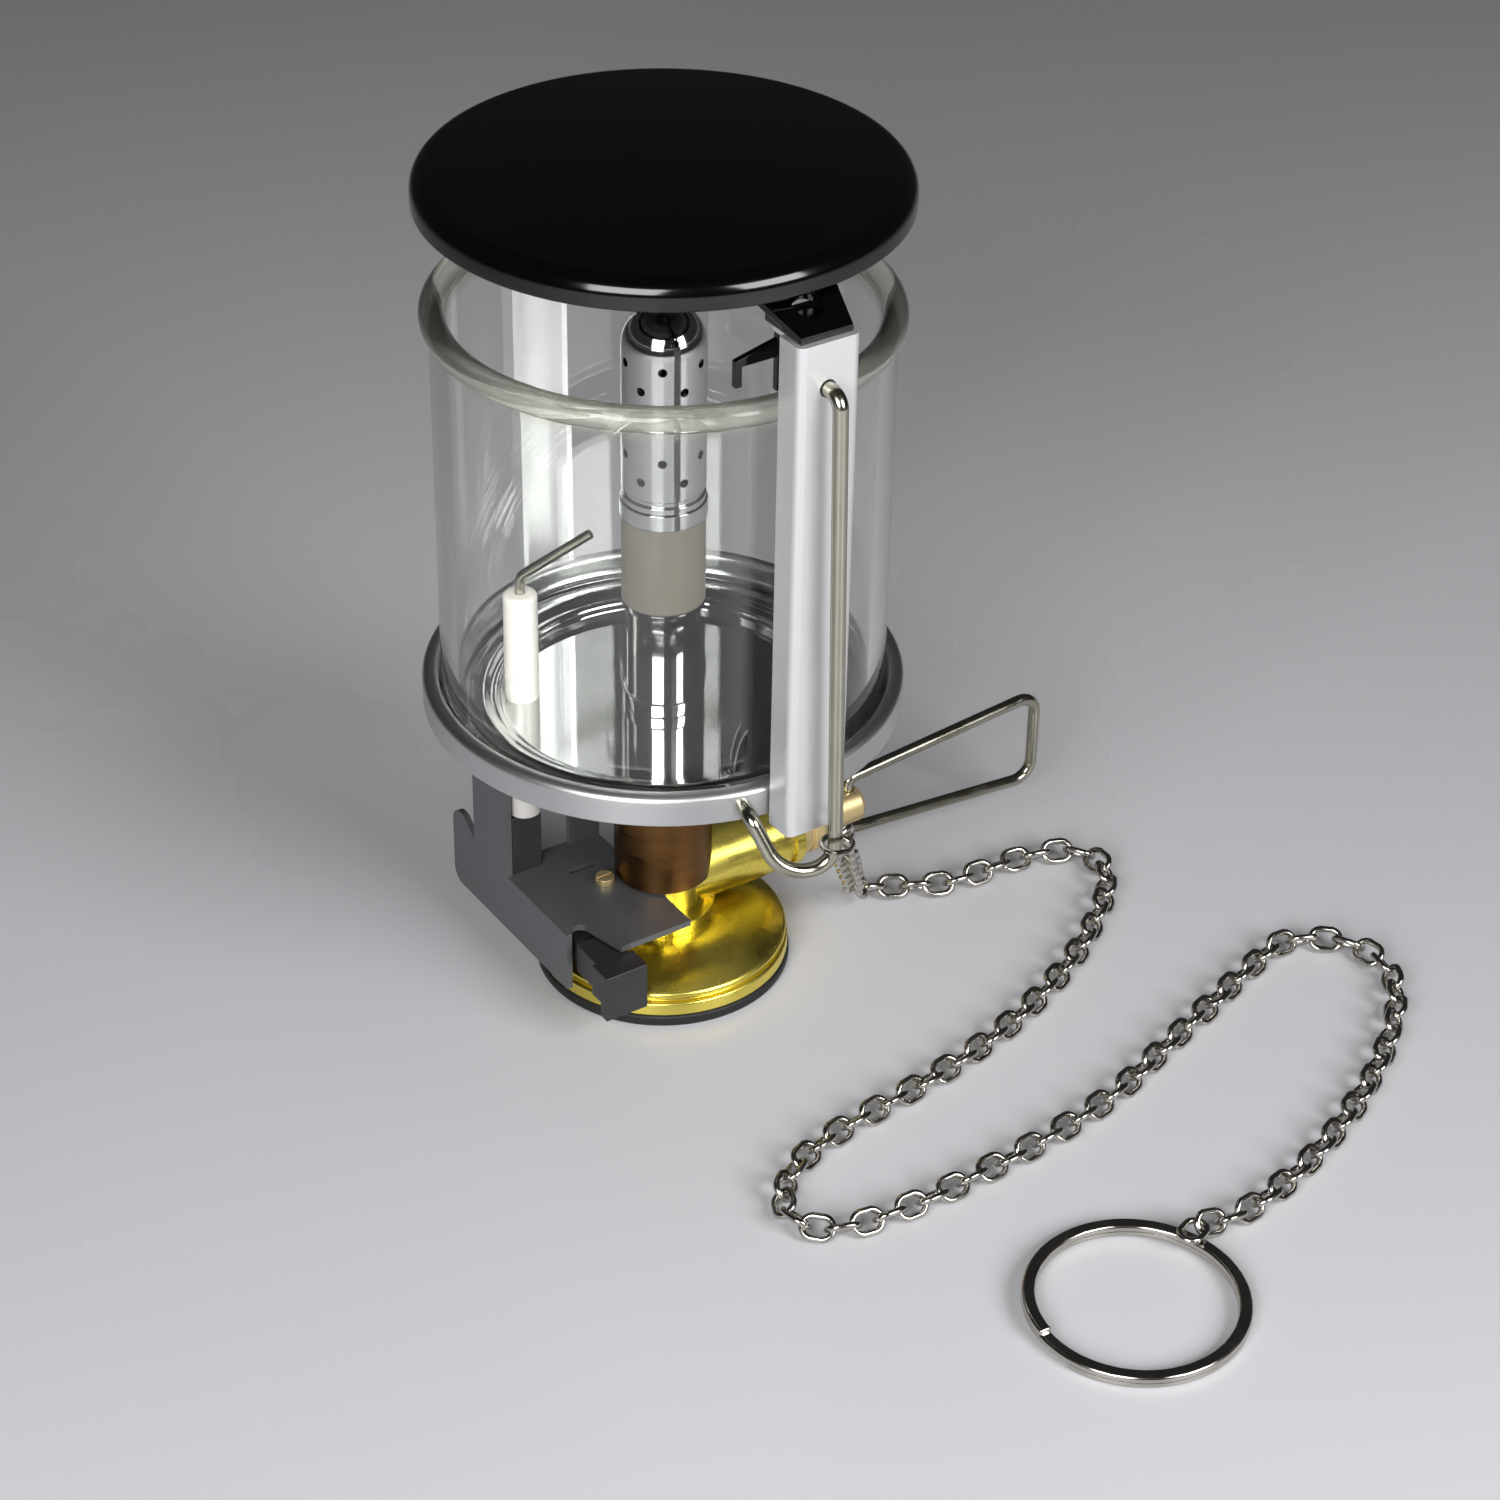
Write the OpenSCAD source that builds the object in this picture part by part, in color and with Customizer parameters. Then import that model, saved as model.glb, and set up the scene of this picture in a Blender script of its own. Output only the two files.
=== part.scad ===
// Canister gas lantern: hood, glass globe, burner, brass valve, spark igniter, hanging chain.
// Millimetres, +Z up. The origin is on the lantern's axis, on the plane that its foot ring stands on.
// +X points along the valve spindle to its handle, and the front strut stands at -Y.

/* [Foot and base] */
// Outer diameter of the rubber foot ring
foot_d = 32; // [28:0.5:36]
// Width of the rubber foot ring across its section
foot_w = 4; // [3:0.5:6]
// Height of the rubber foot ring
foot_h = 1.6; // [1.2:0.1:2.4]
// Height of the brass base disc above the foot ring
base_h = 5; // [4.5:0.1:7]
// Bore of the canister thread at its crests
thread_d = 10.3; // [10:0.1:10.8]

/* [Valve] */
// Height of the spindle's axis above the floor
spindle_z = 12; // [11.5:0.1:14]
// Diameter of the valve barrel
barrel_d = 9.8; // [9:0.2:11]
// Length of the valve barrel from the lantern's axis
barrel_len = 18.5; // [17:0.5:22]
// Diameter of the valve's neck on the base disc
neck_d = 13; // [12:0.5:14]
// Diameter of the spindle
spindle_d = 3.2; // [2.8:0.1:3.6]
// Diameter of the packing nut
nut_d = 8.2; // [7.6:0.2:9]
// Length of the packing nut
nut_len = 4.5; // [3.5:0.5:5]
// Diameter of the spindle's knob
knob_d = 5; // [4.6:0.1:5.6]
// Length of the spindle's knob
knob_len = 4.4; // [4.2:0.1:6]

/* [Folding handle] */
// Diameter of the handle's wire
handle_wire_d = 1.7; // [1.4:0.1:2]
// Reach of the handle from its hinge
handle_len = 30; // [24:1:34]
// Half height of the handle at its outer end
handle_half_h = 6.6; // [6:0.1:8]
// Half height of the handle at its hinge
handle_inner_h = 4; // [3.9:0.1:5]

/* [Mixer and burner] */
// Diameter of the mixer column
mixer_d = 12.2; // [11.8:0.2:13]
// Diameter of the burner tube
tube_d = 8.8; // [8:0.2:9]
// Height of the burner tube's shoulder that carries the sleeve
shoulder_z = 52.6; // [48:0.2:54]
// Diameter of the ceramic sleeve and the burner head
head_d = 10; // [9.6:0.1:10.8]
// Length of the ceramic sleeve
sleeve_len = 11.5; // [9:0.5:13]
// Height of the mantle collar
collar_h = 2.2; // [1.8:0.1:3.4]
// Length of the burner head
head_len = 24.4; // [20:0.2:26]
// Diameter of the burner's flame holes
flame_hole_d = 1.1; // [0.8:0.1:1.4]

/* [Dish] */
// Outer diameter of the dish
dish_d = 58; // [56:0.5:62]
// Height of the dish floor's upper face
dish_floor_z = 38.8; // [38:0.2:41]
// Depth of the dish from its rim to its floor
dish_depth = 4.7; // [4.2:0.1:6]
// Height of the shelf under the glass above the dish floor
shelf_h = 1.8; // [1.4:0.1:2.2]
// Width of the dish's flat rim outside the glass
rim_w = 2; // [1.6:0.1:3]
// Width of the shelf that the glass stands on
shelf_w = 7; // [6.4:0.2:8]
// Length of the dish's outer skirt
skirt_len = 3.9; // [3.4:0.1:4.4]
// Sheet thickness of the dish, hood and struts
sheet = 0.6; // [0.5:0.1:0.7]

/* [Glass] */
// Wall of the glass globe
glass_wall = 2; // [1.5:0.1:2.4]
// Height of the glass globe with its rim
glass_h = 52; // [46:0.5:52.5]
// Diameter of the rolled rim's section
rim_bead_d = 3.1; // [2.6:0.1:4]

/* [Hood and struts] */
// Outer diameter of the hood
hood_d = 56.4; // [54:0.2:62]
// Height of the hood's lower edge above the struts
hood_lift = 3.3; // [2.5:0.1:8]
// Height of the hood's skirt
hood_skirt = 3.2; // [2.8:0.1:5]
// Rise of the hood's dome above its edge
dome_h = 1.4; // [1.2:0.1:4]
// Width of a strut
strut_w = 8; // [7:0.2:9]
// Depth of a strut's channel
strut_depth = 3.9; // [3.5:0.1:4.5]
// Height of a strut's upper end
strut_top = 101.5; // [99:0.5:103]

/* [Rail wire and chain] */
// Diameter of the rail wire
rail_d = 1.8; // [1.4:0.1:2]
// Gap between the strut's face and the rail wire
rail_proud = 1.5; // [1.4:0.1:2]
// Width of the chain over its links
chain_w = 3.2; // [2.8:0.1:3.6]
// Outer diameter of the split ring
split_d = 26; // [24:0.5:30]
// Width of the split ring's band
split_w = 1.7; // [1.4:0.1:2.2]
// Height of the split ring's two turns
split_h = 2.2; // [1.6:0.1:2.6]

/* [Igniter] */
// Angle of the electrode round the lantern's axis
electrode_angle = 146; // [140:1:150]
// Diameter of the ceramic insulator
insulator_d = 4.2; // [3.6:0.1:4.4]
// Length of the insulator above the dish floor
insulator_up = 14.5; // [12:0.5:18]
// Width of the igniter's body
igniter_w = 4.6; // [4.2:0.1:4.8]
// Length of the igniter's body
igniter_len = 15.7; // [15:0.1:18]
// Height of the igniter's body
igniter_h = 4.8; // [4.4:0.1:5]
// Travel of the igniter's button
button_travel = 3; // [2:0.1:3]
// Sheet thickness of the bracket
bracket_t = 0.8; // [0.6:0.1:1]

/* [Hidden] */
$fn = 48;
fit = 0.05;      // radial clearance of a running fit
slip = 0.15;     // clearance of a loose fit
gap = 0.3;       // clearance between pieces that don't fit each other

// Base and valve
foot_r = foot_d / 2;
thread_r = thread_d / 2;
thread_len = 4.6;
seal_r = thread_r + 0.5;
seal_h = 1.4;
base_top = foot_h + base_h;
base_r = foot_r - 0.2;
barrel_r = barrel_d / 2;
barrel_back = 2.7;
neck_r = neck_d / 2;
neck_h = 1.8;
core_r = 5.2;
boss_top = spindle_z + barrel_r + 0.6;
spindle_r = spindle_d / 2;
chamber_r = spindle_r + 1;
chamber_len = 5;
needle_x = 7;
needle_len = 2.4;
needle_lift = 0.6;
passage_r = 0.6;
pin_r = 0.9;
pin_bottom = thread_len + 0.2;
pin_top = base_top + 3;
nut_end = barrel_len + nut_len;
knob_r = knob_d / 2;
knob_x = nut_end + 2.4;
hinge_x = knob_x + 2.6;
handle_r = handle_wire_d / 2;
pin_hinge_r = handle_r - 0.06;
pin_in = 0.5;
tail_r = 1;
tail_len = 1.2;

// Mixer and burner
mixer_r = mixer_d / 2;
mixer_bore = 3.4;
dish_under = dish_floor_z - sheet;
tube_r = tube_d / 2;
tube_wall = 0.8;
spigot_r = mixer_bore - fit;
spigot_len = 5;
ferrule_r = tube_r + 0.4;
ferrule_h = 1.8;
shoulder_h = 0.8;
head_r = head_d / 2;
sleeve_z = shoulder_z + shoulder_h;
collar_z = sleeve_z + sleeve_len;
head_z = collar_z + collar_h;
head_wall = 0.6;
tube_top = collar_z + collar_h - 1;

// Dish and glass
dish_r = dish_d / 2;
rim_z = dish_floor_z + dish_depth;
shelf_z = dish_floor_z + shelf_h;
skirt_bottom = rim_z - skirt_len;
wall_r = dish_r - rim_w;
floor_r = wall_r - shelf_w;
glass_r = wall_r - gap;
bead_r = rim_bead_d / 2;
glass_top = shelf_z + glass_h;

// Hood, arms and struts
hood_r = hood_d / 2;
hood_z = strut_top + hood_lift;
hood_sheet = sheet + 0.2;
edge_r = 2;
edge_z = hood_z + hood_skirt - edge_r + 0.4;
dome_in_r = hood_r - edge_r;
dome_top = edge_z + edge_r + dome_h;
dome_R = (dome_in_r * dome_in_r + dome_h * dome_h) / (2 * dome_h);
strut_t = sheet + 0.2;
strut_in = dish_r + 0.1;
strut_out = strut_in + strut_depth;
strut_bottom = skirt_bottom - slip - strut_t;
strut_bend = 1;
arm_t = 0.8;
arm_w = 6.6;
arm_root_w = 13.5;
arm_inset = 9.2;
arm_root_y = hood_r - arm_inset;
foot_reach = 3.8;
foot_in = dish_r - foot_reach;
rivet_y = dish_r - 0.6;
rivet_r = 1;
rivet_low = [1.7, 0.7];
rivet_high = [1.5, 0.6];
hook_w = 4.2;
clip_w = 14.8;
clip_z = strut_top - 4.4;
clip_tip = 2.4;
clip_h = 2;

// Rail wire: hooked in the strut's face, down its front, round and up into the dish's skirt
rail_r = rail_d / 2;
rail_hole_z = strut_top - 5.5;
rail_y = strut_out + rail_proud + rail_r;
rail_top = [-0.3, -rail_y, rail_hole_z];
rail_low_z = 34.7;
rail_low = [0.9, -rail_y - 0.2, rail_low_z];
rail_turn = [-5.5, -rail_y + 1.4, rail_low_z];
rail_end_angle = -104;
rail_end_z = skirt_bottom + 2;
rail_bend = 3;
rail_turn_bend = 4.6;
rail_hook_bend = 1.6;
rail_line = unit(rail_top - rail_low);
link_wire_r = 0.32;
link_off = 0.4;
link_r = rail_r + link_wire_r + link_off + 0.2;
link_at = rail_low + rail_line * (rail_bend + 0.3) - [0, link_off, 0];

// Chain route on the floor, from the rail wire's ring to the split ring, chosen by hand
split_r = split_d / 2;
split_at = [9.5, -84.5];
chain_r = chain_w / 2;
floor_z = chain_r + 0.1;
chain_way = unit([0.43, 0.57, -0.7]);
chain_start = link_at + link_r * unit([4, 3, 0]) + (link_wire_r + gap) * chain_way;
chain_neck_r = 0.7;
chain_drop = [
    chain_start, [8.6, -27, 28], [14.7, -19.5, 19],
    [20.8, -12, 10.2], [24.9, -6.9, 4.4], [28.1, -5.4, 2],
];
chain_floor = [
    [31, -6.5], [34, -8.2], [37.4, -9.6], [42, -10.1], [46.5, -10.2], [51.3, -10.9], [55.6, -12.8],
    [57, -17], [54, -22], [48, -27], [40, -32], [30, -36.5],
    [20, -39.5], [9, -41.5], [-2, -43], [-9, -45], [-14, -48.5], [-15.5, -52], [-14, -56], [-9, -58],
    [0, -58.5], [10, -58], [20, -57], [30, -55], [40, -51.5], [50, -48], [60, -44.5], [66, -43],
    [71.5, -45.5], [74, -50], [73, -56], [68, -62], [60, -68], [50, -73.5], [40, -77.5], [32, -79.5],
    [27, -80], [22.3, -79.6],
];
chain_route = concat(chain_drop, [for (p = chain_floor) [p.x, p.y, floor_z]]);
chain_steps = 2;
chain_sides = 8;
wire_sides = 14;
bend_steps = 6;

// Electrode, igniter and bracket
insulator_r = insulator_d / 2;
electrode_out = floor_r - sheet - insulator_r - slip;
electrode_at = on_circle(electrode_out, electrode_angle);
electrode_top = dish_floor_z + insulator_up;
electrode_r = 0.6;
spark_up = 2.2;
spark_rise = 8.3;
spark_gap = 3.6;
plate_z = spindle_z;
plate_y = 11.2;
plate_out = insulator_r + gap + slip - electrode_at.x;
plate_in = barrel_back + gap;
back_w = 4.4;
plate_top = plate_z + bracket_t;
wall_near = -5.8;
wall_low = 4.6;
riser_y = [electrode_at.y - 1.1, electrode_at.y + 7.1];
riser_tab = 7;
ear_r = 2;
ear_top = 15.8;
wall_far = riser_y[1] + 5.4;
notch_at = [1.2, -5.8];
notch_r = 1.2;
nose_x = 13;
slot_at = [-10.4, 4.8];
slot_size = [4, 1];
igniter_x = plate_out - slip - igniter_w / 2;
igniter_front = -3.2;
igniter_z = plate_z - igniter_h / 2;
lead_r = 0.8;
boot_w = 4.2;
boot_len = 5;
boot_h = 8.4;
electrode_low = plate_top + boot_h;
nose_w = 3.4;
nose_h = 3;
nose_len = 6.3;
sleeve_wall = 0.45;
sleeve_w = nose_w + 2 * slip + 2 * sleeve_wall;
sleeve_h = nose_h + 2 * slip + 2 * sleeve_wall;
sleeve_end = igniter_front - gap - button_travel;
button_w = igniter_w + 1.2;
button_top = plate_z - gap;
button_len = 3.5;
button_front = igniter_front - nose_len - gap - button_travel - 1.8;
lip_t = 1.5;
lip_z = 5.2;
lug_len = 11.5;
lug_w = 7;
screw_at = [-7.7, 1.3];
screw_r = 1;
screw_head_r = 1.2;
screw_head_h = 0.9;
screw_slot = [0.3, 0.4];

// Vectors
function unit(v) = v / norm(v);
function square_to(w) = abs(w.z) < 0.9 ? unit(cross([0, 0, 1], w)) : unit(cross([1, 0, 0], w));
function on_circle(r, a) = [r * cos(a), r * sin(a)];

// Places children with their own x, y and z axes along u, v and w
module placed(at, u, v, w) {
    multmatrix([
        [u.x, v.x, w.x, at.x],
        [u.y, v.y, w.y, at.y],
        [u.z, v.z, w.z, at.z],
        [0, 0, 0, 1],
    ]) children();
}

// A line through the points with each inner corner rounded to its own bend radius
function corner_arc(a, b, c, bend) =
    let (
        back = unit(a - b),
        ahead = unit(c - b),
        open = acos(back * ahead),
        centre = b + unit(back + ahead) * bend / sin(open / 2),
        u = unit(b + back * bend / tan(open / 2) - centre)
    )
    [for (k = [0:bend_steps])
        let (t = (180 - open) * k / bend_steps)
            centre + bend * (cos(t) * u - sin(t) * back)];
function rounded(points, bends) = concat(
    [points[0]],
    [for (i = [1:len(points) - 2]) each corner_arc(points[i - 1], points[i], points[i + 1], bends[i - 1])],
    [points[len(points) - 1]]
);

// A closed tube along a line, with first_r at its start; ref is a direction that the line never takes
module tube(line, r, sides, ref, first_r) {
    last = len(line) - 1;
    ahead = [for (i = [0:last]) unit(line[min(last, i + 1)] - line[max(0, i - 1)])];
    side = [for (v = ahead) unit(cross(v, ref))];
    rings = [for (i = [0:last], k = [0:sides - 1])
        let (a = 360 * (k + 0.5) / sides)
            line[i] + (i == 0 ? first_r : r) * (cos(a) * side[i] + sin(a) * cross(side[i], ahead[i]))];
    walls = [for (i = [0:last - 1], k = [0:sides - 1])
        let (a = i * sides + k, b = i * sides + (k + 1) % sides)
            each [[a, b, a + sides], [b, b + sides, a + sides]]];
    ends = [for (k = [1:sides - 2])
        each [[0, k + 1, k], [last * sides, last * sides + k, last * sides + k + 1]]];
    polyhedron(rings, concat(walls, ends));
}

module bent_wire(points, bends, r, ref) {
    tube(rounded(points, bends), r, wire_sides, ref, r);
}

// A turned piece's rectangle, from radius a to b and height z to z + h
module band(a, b, z, h) {
    translate([a, z]) square([b - a, h]);
}

// Along the spindle: local z becomes +X at the spindle's height
module on_spindle(x) {
    translate([x, 0, spindle_z]) rotate([0, 90, 0]) children();
}

module base_ring() {
    round_r = 0.5;
    color("#1b1b1c") rotate_extrude() {
        band(foot_r - foot_w, foot_r - round_r, 0, foot_h);
        band(foot_r - foot_w, foot_r, round_r, foot_h - round_r);
        translate([foot_r - round_r, round_r]) circle(round_r);
    }
}

module base_disc() {
    band_top = foot_h + 1.8;
    groove_top = band_top + 0.7;
    lip_top = groove_top + 0.6;
    lip_r = base_r - 0.2;
    crown_r = 8.6;
    color("#c9a24a") rotate_extrude() difference() {
        union() {
            band(0, foot_r - foot_w - slip, 0, base_top - 1);
            band(0, base_r, foot_h, band_top - foot_h);
            band(0, base_r - 0.7, band_top, groove_top - band_top);
            polygon([
                [0, groove_top], [lip_r, groove_top], [lip_r, lip_top],
                [base_r - 2.4, (lip_top + base_top) / 2], [crown_r, base_top], [0, base_top],
            ]);
        }
        band(-1, thread_r, -1, base_top + 2);
        band(-1, seal_r, thread_len, base_top);
    }
}

module canister_seal() {
    color("#202020") rotate_extrude() band(pin_r + 1.6, seal_r - slip, base_top - seal_h, seal_h);
}

module valve_pin() {
    color("#b9bcc0") translate([0, 0, pin_bottom]) cylinder(h = pin_top - pin_bottom, r = pin_r - fit);
}

module valve_body() {
    color("#c9a24a") difference() {
        union() {
            translate([0, 0, base_top]) cylinder(h = neck_h, r = neck_r);
            translate([0, 0, base_top]) cylinder(h = boss_top - base_top, r = core_r);
            on_spindle(-barrel_back) cylinder(h = barrel_len + barrel_back, r = barrel_r);
            translate([-lug_len, -lug_w / 2, base_top + neck_h - 0.4])
                cube([lug_len, lug_w, plate_z - base_top - neck_h + 0.4]);
        }
        translate([0, 0, pin_top - 4]) cylinder(h = 4, r = pin_r);
        translate([0, 0, base_top]) cylinder(h = boss_top, r = passage_r);
        on_spindle(0) cylinder(h = barrel_len, r = passage_r);
        on_spindle(needle_x) cylinder(h = barrel_len, r = spindle_r + fit);
        on_spindle(barrel_len - chamber_len) cylinder(h = chamber_len + 1, r = chamber_r + fit);
        on_spindle(barrel_len - 2.2) rotate_extrude() band(barrel_r - 0.4, barrel_r + 1, 0, 0.8);
        translate([screw_at.x, screw_at.y, base_top]) cylinder(h = plate_z, r = screw_r + fit);
    }
}

module jet() {
    color("#d3b15e") difference() {
        translate([0, 0, boss_top]) cylinder(h = 1.6, r = 2.6, $fn = 6);
        translate([0, 0, boss_top - 1]) cylinder(h = 6, r = 0.3);
    }
    color("#d3b15e") difference() {
        translate([0, 0, boss_top + 1.6]) cylinder(h = 2.6, r1 = 1.8, r2 = 1);
        translate([0, 0, boss_top]) cylinder(h = 6, r = 0.3);
    }
}

module packing_nut() {
    color("#d8ad3f") on_spindle(barrel_len) rotate_extrude() {
        inner = spindle_r + fit;
        outer = nut_d / 2;
        polygon([
            [inner, 0], [outer - 0.3, 0], [outer, 0.3], [outer, nut_len - 1], [outer - 1, nut_len],
            [inner, nut_len],
        ]);
    }
}

module spindle_oring() {
    color("#2a2a2a") on_spindle(barrel_len - chamber_len + 0.8)
        rotate_extrude() band(spindle_r + fit, chamber_r, 0, 1.8);
}

module valve_spindle() {
    color("#b9bcc0") {
        on_spindle(needle_x + needle_lift) cylinder(h = needle_len, r1 = passage_r - fit, r2 = spindle_r);
        on_spindle(needle_x + needle_lift + needle_len)
            cylinder(h = knob_x - needle_x - needle_lift - needle_len, r = spindle_r);
        on_spindle(knob_x) cylinder(h = tail_len, r = tail_r);
    }
}

module spindle_knob() {
    color("#d8ad3f") difference() {
        on_spindle(knob_x) rotate_extrude() polygon([
            [0, 0], [knob_r - 0.4, 0], [knob_r, 0.4], [knob_r, knob_len - 0.8],
            [knob_r - 0.8, knob_len], [0, knob_len],
        ]);
        on_spindle(knob_x - 1) cylinder(h = tail_len + 1.1, r = tail_r + 0.02);
        translate([hinge_x, 0, spindle_z - knob_r - 1]) cylinder(h = knob_d + 2, r = pin_hinge_r + fit);
    }
}

module valve_handle() {
    inner = handle_inner_h;
    outer = handle_half_h;
    collar = knob_r + 0.2;
    function at(x, h) = [hinge_x + x, 0, spindle_z + h];
    color("#c8cacc") {
        bent_wire(
            [
                at(0, collar), at(0, inner), at(handle_len, outer),
                at(handle_len, -outer), at(0, -inner), at(0, -collar),
            ],
            [1, 2.6, 2.6, 1],
            handle_r,
            [0, 1, 0]
        );
        for (s = [0, 180]) {
            translate([hinge_x, 0, spindle_z]) rotate([s, 0, 0]) translate([0, 0, pin_in])
                cylinder(h = collar + 0.2 - pin_in, r = pin_hinge_r);
        }
    }
}

module mixer_column() {
    h = dish_under - boss_top;
    hole_z = boss_top + 5;
    air_turn = 56;
    air_r = 1.5;
    color("#7a5a3a") difference() {
        rotate_extrude() difference() {
            union() {
                band(mixer_bore, mixer_r, boss_top, h);
                band(core_r + fit, mixer_r, plate_top + gap, boss_top - plate_top - gap + 1);
            }
            for (k = [0:2]) {
                band(mixer_r - 0.35, mixer_r + 1, dish_under - 2.2 - 2.4 * k, 0.8);
            }
        }
        translate([0, 0, hole_z]) rotate([90, 0, air_turn])
            cylinder(h = 3 * mixer_r, r = air_r, center = true);
        on_spindle(-barrel_back - gap) cylinder(h = 2 * mixer_r + gap, r = barrel_r + gap);
    }
}

module tray() {
    color("#c4c7ca") difference() {
        rotate_extrude() {
            band(spigot_r + 0.1, floor_r, dish_under, sheet);
            band(floor_r - sheet, floor_r, dish_under, shelf_h + sheet);
            band(floor_r - sheet, wall_r + sheet, shelf_z - sheet, sheet);
            band(wall_r, wall_r + sheet, shelf_z - sheet, rim_z - shelf_z + sheet);
            band(wall_r, dish_r - sheet, rim_z - sheet, sheet);
            band(dish_r - sheet, dish_r, skirt_bottom, skirt_len - sheet);
            translate([dish_r - sheet, rim_z - sheet]) circle(sheet);
        }
        insulator_hole(dish_under);
        rotate([0, 0, rail_end_angle]) translate([dish_r - 3, 0, rail_end_z]) rotate([0, 90, 0])
            translate([0, 0, 3 - 2 * sheet]) cylinder(h = 4, r = rail_r + slip);
    }
}

// The insulator's way through a sheet at height z
module insulator_hole(z) {
    translate([electrode_at.x, electrode_at.y, z - 2]) cylinder(h = 4, r = insulator_r + fit);
}

module burner_tube() {
    color("#c9ccce") rotate_extrude() {
        bore = spigot_r - tube_wall;
        band(bore, spigot_r, dish_floor_z - spigot_len, spigot_len);
        band(bore, ferrule_r, dish_floor_z, ferrule_h);
        band(bore, tube_r, dish_floor_z, tube_top - dish_floor_z);
        band(bore, head_r, shoulder_z, shoulder_h);
    }
}

module burner_sleeve() {
    color("#a59f93") rotate_extrude() band(tube_r + fit, head_r, sleeve_z, sleeve_len);
}

module mantle_collar() {
    color("#d2d4d6") rotate_extrude() band(tube_r + fit, head_r + 0.2, collar_z, collar_h);
}

module burner_head() {
    rows = [4, 6.8, 15.4, 18.2];
    per_row = 3;
    hole_turn = -4;
    dome_z = head_z + head_len - head_r;
    module section(t) {
        band(0, head_r - t, head_z - t, dome_z - head_z + t);
        intersection() {
            translate([0, dome_z]) circle(head_r - t);
            band(0, head_r, dome_z, head_r);
        }
    }
    color("#cfd1d3") difference() {
        rotate_extrude() difference() {
            section(0);
            section(head_wall);
            band(head_r - 0.3, head_r + 1, head_z + 0.7, 0.8);
        }
        for (i = [0:3], j = [0:per_row - 1]) {
            translate([0, 0, head_z + rows[i]])
                rotate([90, 0, 180 / per_row * (j + 0.5 * (i % 2)) + hole_turn])
                    cylinder(h = 3 * head_r, d = flame_hole_d, center = true, $fn = 16);
        }
    }
}

module glass_globe() {
    color("#dfe8da", 0.4) rotate_extrude() {
        inner = glass_r - glass_wall;
        body_top = glass_top - bead_r;
        band(inner, glass_r, shelf_z + 0.8, body_top - shelf_z - 0.8);
        band(inner + 0.8, glass_r - 0.8, shelf_z, 0.8);
        translate([inner + 0.8, shelf_z + 0.8]) circle(0.8);
        translate([glass_r - 0.8, shelf_z + 0.8]) circle(0.8);
        translate([glass_r - 0.5, body_top]) circle(bead_r);
    }
}

// A strut's outline with its bent corners, grown inwards by t
module strut_outline(t) {
    half = strut_w / 2;
    translate([-half + t, -strut_out + strut_bend]) square([strut_w - 2 * t, strut_depth - strut_bend + t]);
    translate([-half + strut_bend, -strut_out + t]) square([strut_w - 2 * strut_bend, 2 * strut_bend]);
    for (s = [-1, 1]) {
        translate([s * (half - strut_bend), -strut_out + strut_bend]) circle(strut_bend - t);
    }
}

// A U-section strut at -Y with its lower tab under the dish's skirt and its upper flange to the arm
module strut() {
    half = strut_w / 2;
    translate([0, 0, strut_bottom]) linear_extrude(strut_top - strut_bottom) difference() {
        strut_outline(0);
        strut_outline(strut_t);
    }
    for (z = [strut_bottom, strut_top - strut_t]) {
        translate([-half + strut_bend, -strut_out + strut_t / 2, z])
            cube([strut_w - 2 * strut_bend, strut_out - strut_t / 2 - foot_in - arm_t - gap, strut_t]);
    }
}

module front_strut() {
    color("#c9ccce") difference() {
        strut();
        translate([rail_top.x, -strut_out - 1, rail_hole_z]) rotate([-90, 0, 0])
            cylinder(h = 3, r = rail_r + slip);
        rivet_hole(-1);
    }
}

module rear_strut() {
    color("#c9ccce") difference() {
        rotate([0, 0, 180]) strut();
        rivet_hole(1);
    }
}

module rivet_hole(side) {
    translate([0, side * rivet_y, strut_top - 3]) cylinder(h = 6, r = rivet_r + fit);
}

// One sheet strap under the hood, with an arm down to each strut and a hook over the glass rim
module hood_arm() {
    strap_top = dome_top - dome_R + sqrt(dome_R * dome_R - arm_root_y * arm_root_y) - hood_sheet - gap;
    color("#161616") difference() {
        union() {
            translate([-arm_root_w / 2, -arm_root_y, strap_top - arm_t])
                cube([arm_root_w, 2 * arm_root_y, arm_t]);
            for (a = [0, 180]) {
                rotate([0, 0, a]) {
                    hull() {
                        translate([-arm_root_w / 2, -arm_root_y, strap_top - arm_t])
                            cube([arm_root_w, arm_t, arm_t]);
                        translate([-arm_w / 2, -strut_out + 0.8, strut_top]) cube([arm_w, arm_t, arm_t]);
                    }
                    translate([-arm_w / 2, -strut_out + 0.8, strut_top])
                        cube([arm_w, strut_out - 0.8 - foot_in, arm_t]);
                    translate([-hook_w / 2, -foot_in - arm_t, glass_top + gap])
                        cube([hook_w, arm_t, strut_top + arm_t - glass_top - gap]);
                    hull() {
                        translate([-clip_w / 2, -foot_in - arm_t, clip_z]) cube([clip_w, arm_t, arm_t]);
                        translate([-hook_w / 2, -foot_in - arm_t, clip_z]) cube([hook_w, arm_t, clip_h]);
                    }
                    for (s = [-1, 1]) {
                        translate([s * (clip_w - arm_t) / 2 - arm_t / 2, -foot_in - arm_t, clip_z - clip_tip])
                            cube([arm_t, arm_t, clip_tip + arm_t]);
                    }
                }
            }
        }
        for (s = [-1, 1]) {
            rivet_hole(s);
            translate([0, s * rivet_y, strut_top + arm_t]) cylinder(h = hood_lift, r = rivet_high[0] + gap);
        }
    }
}

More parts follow.
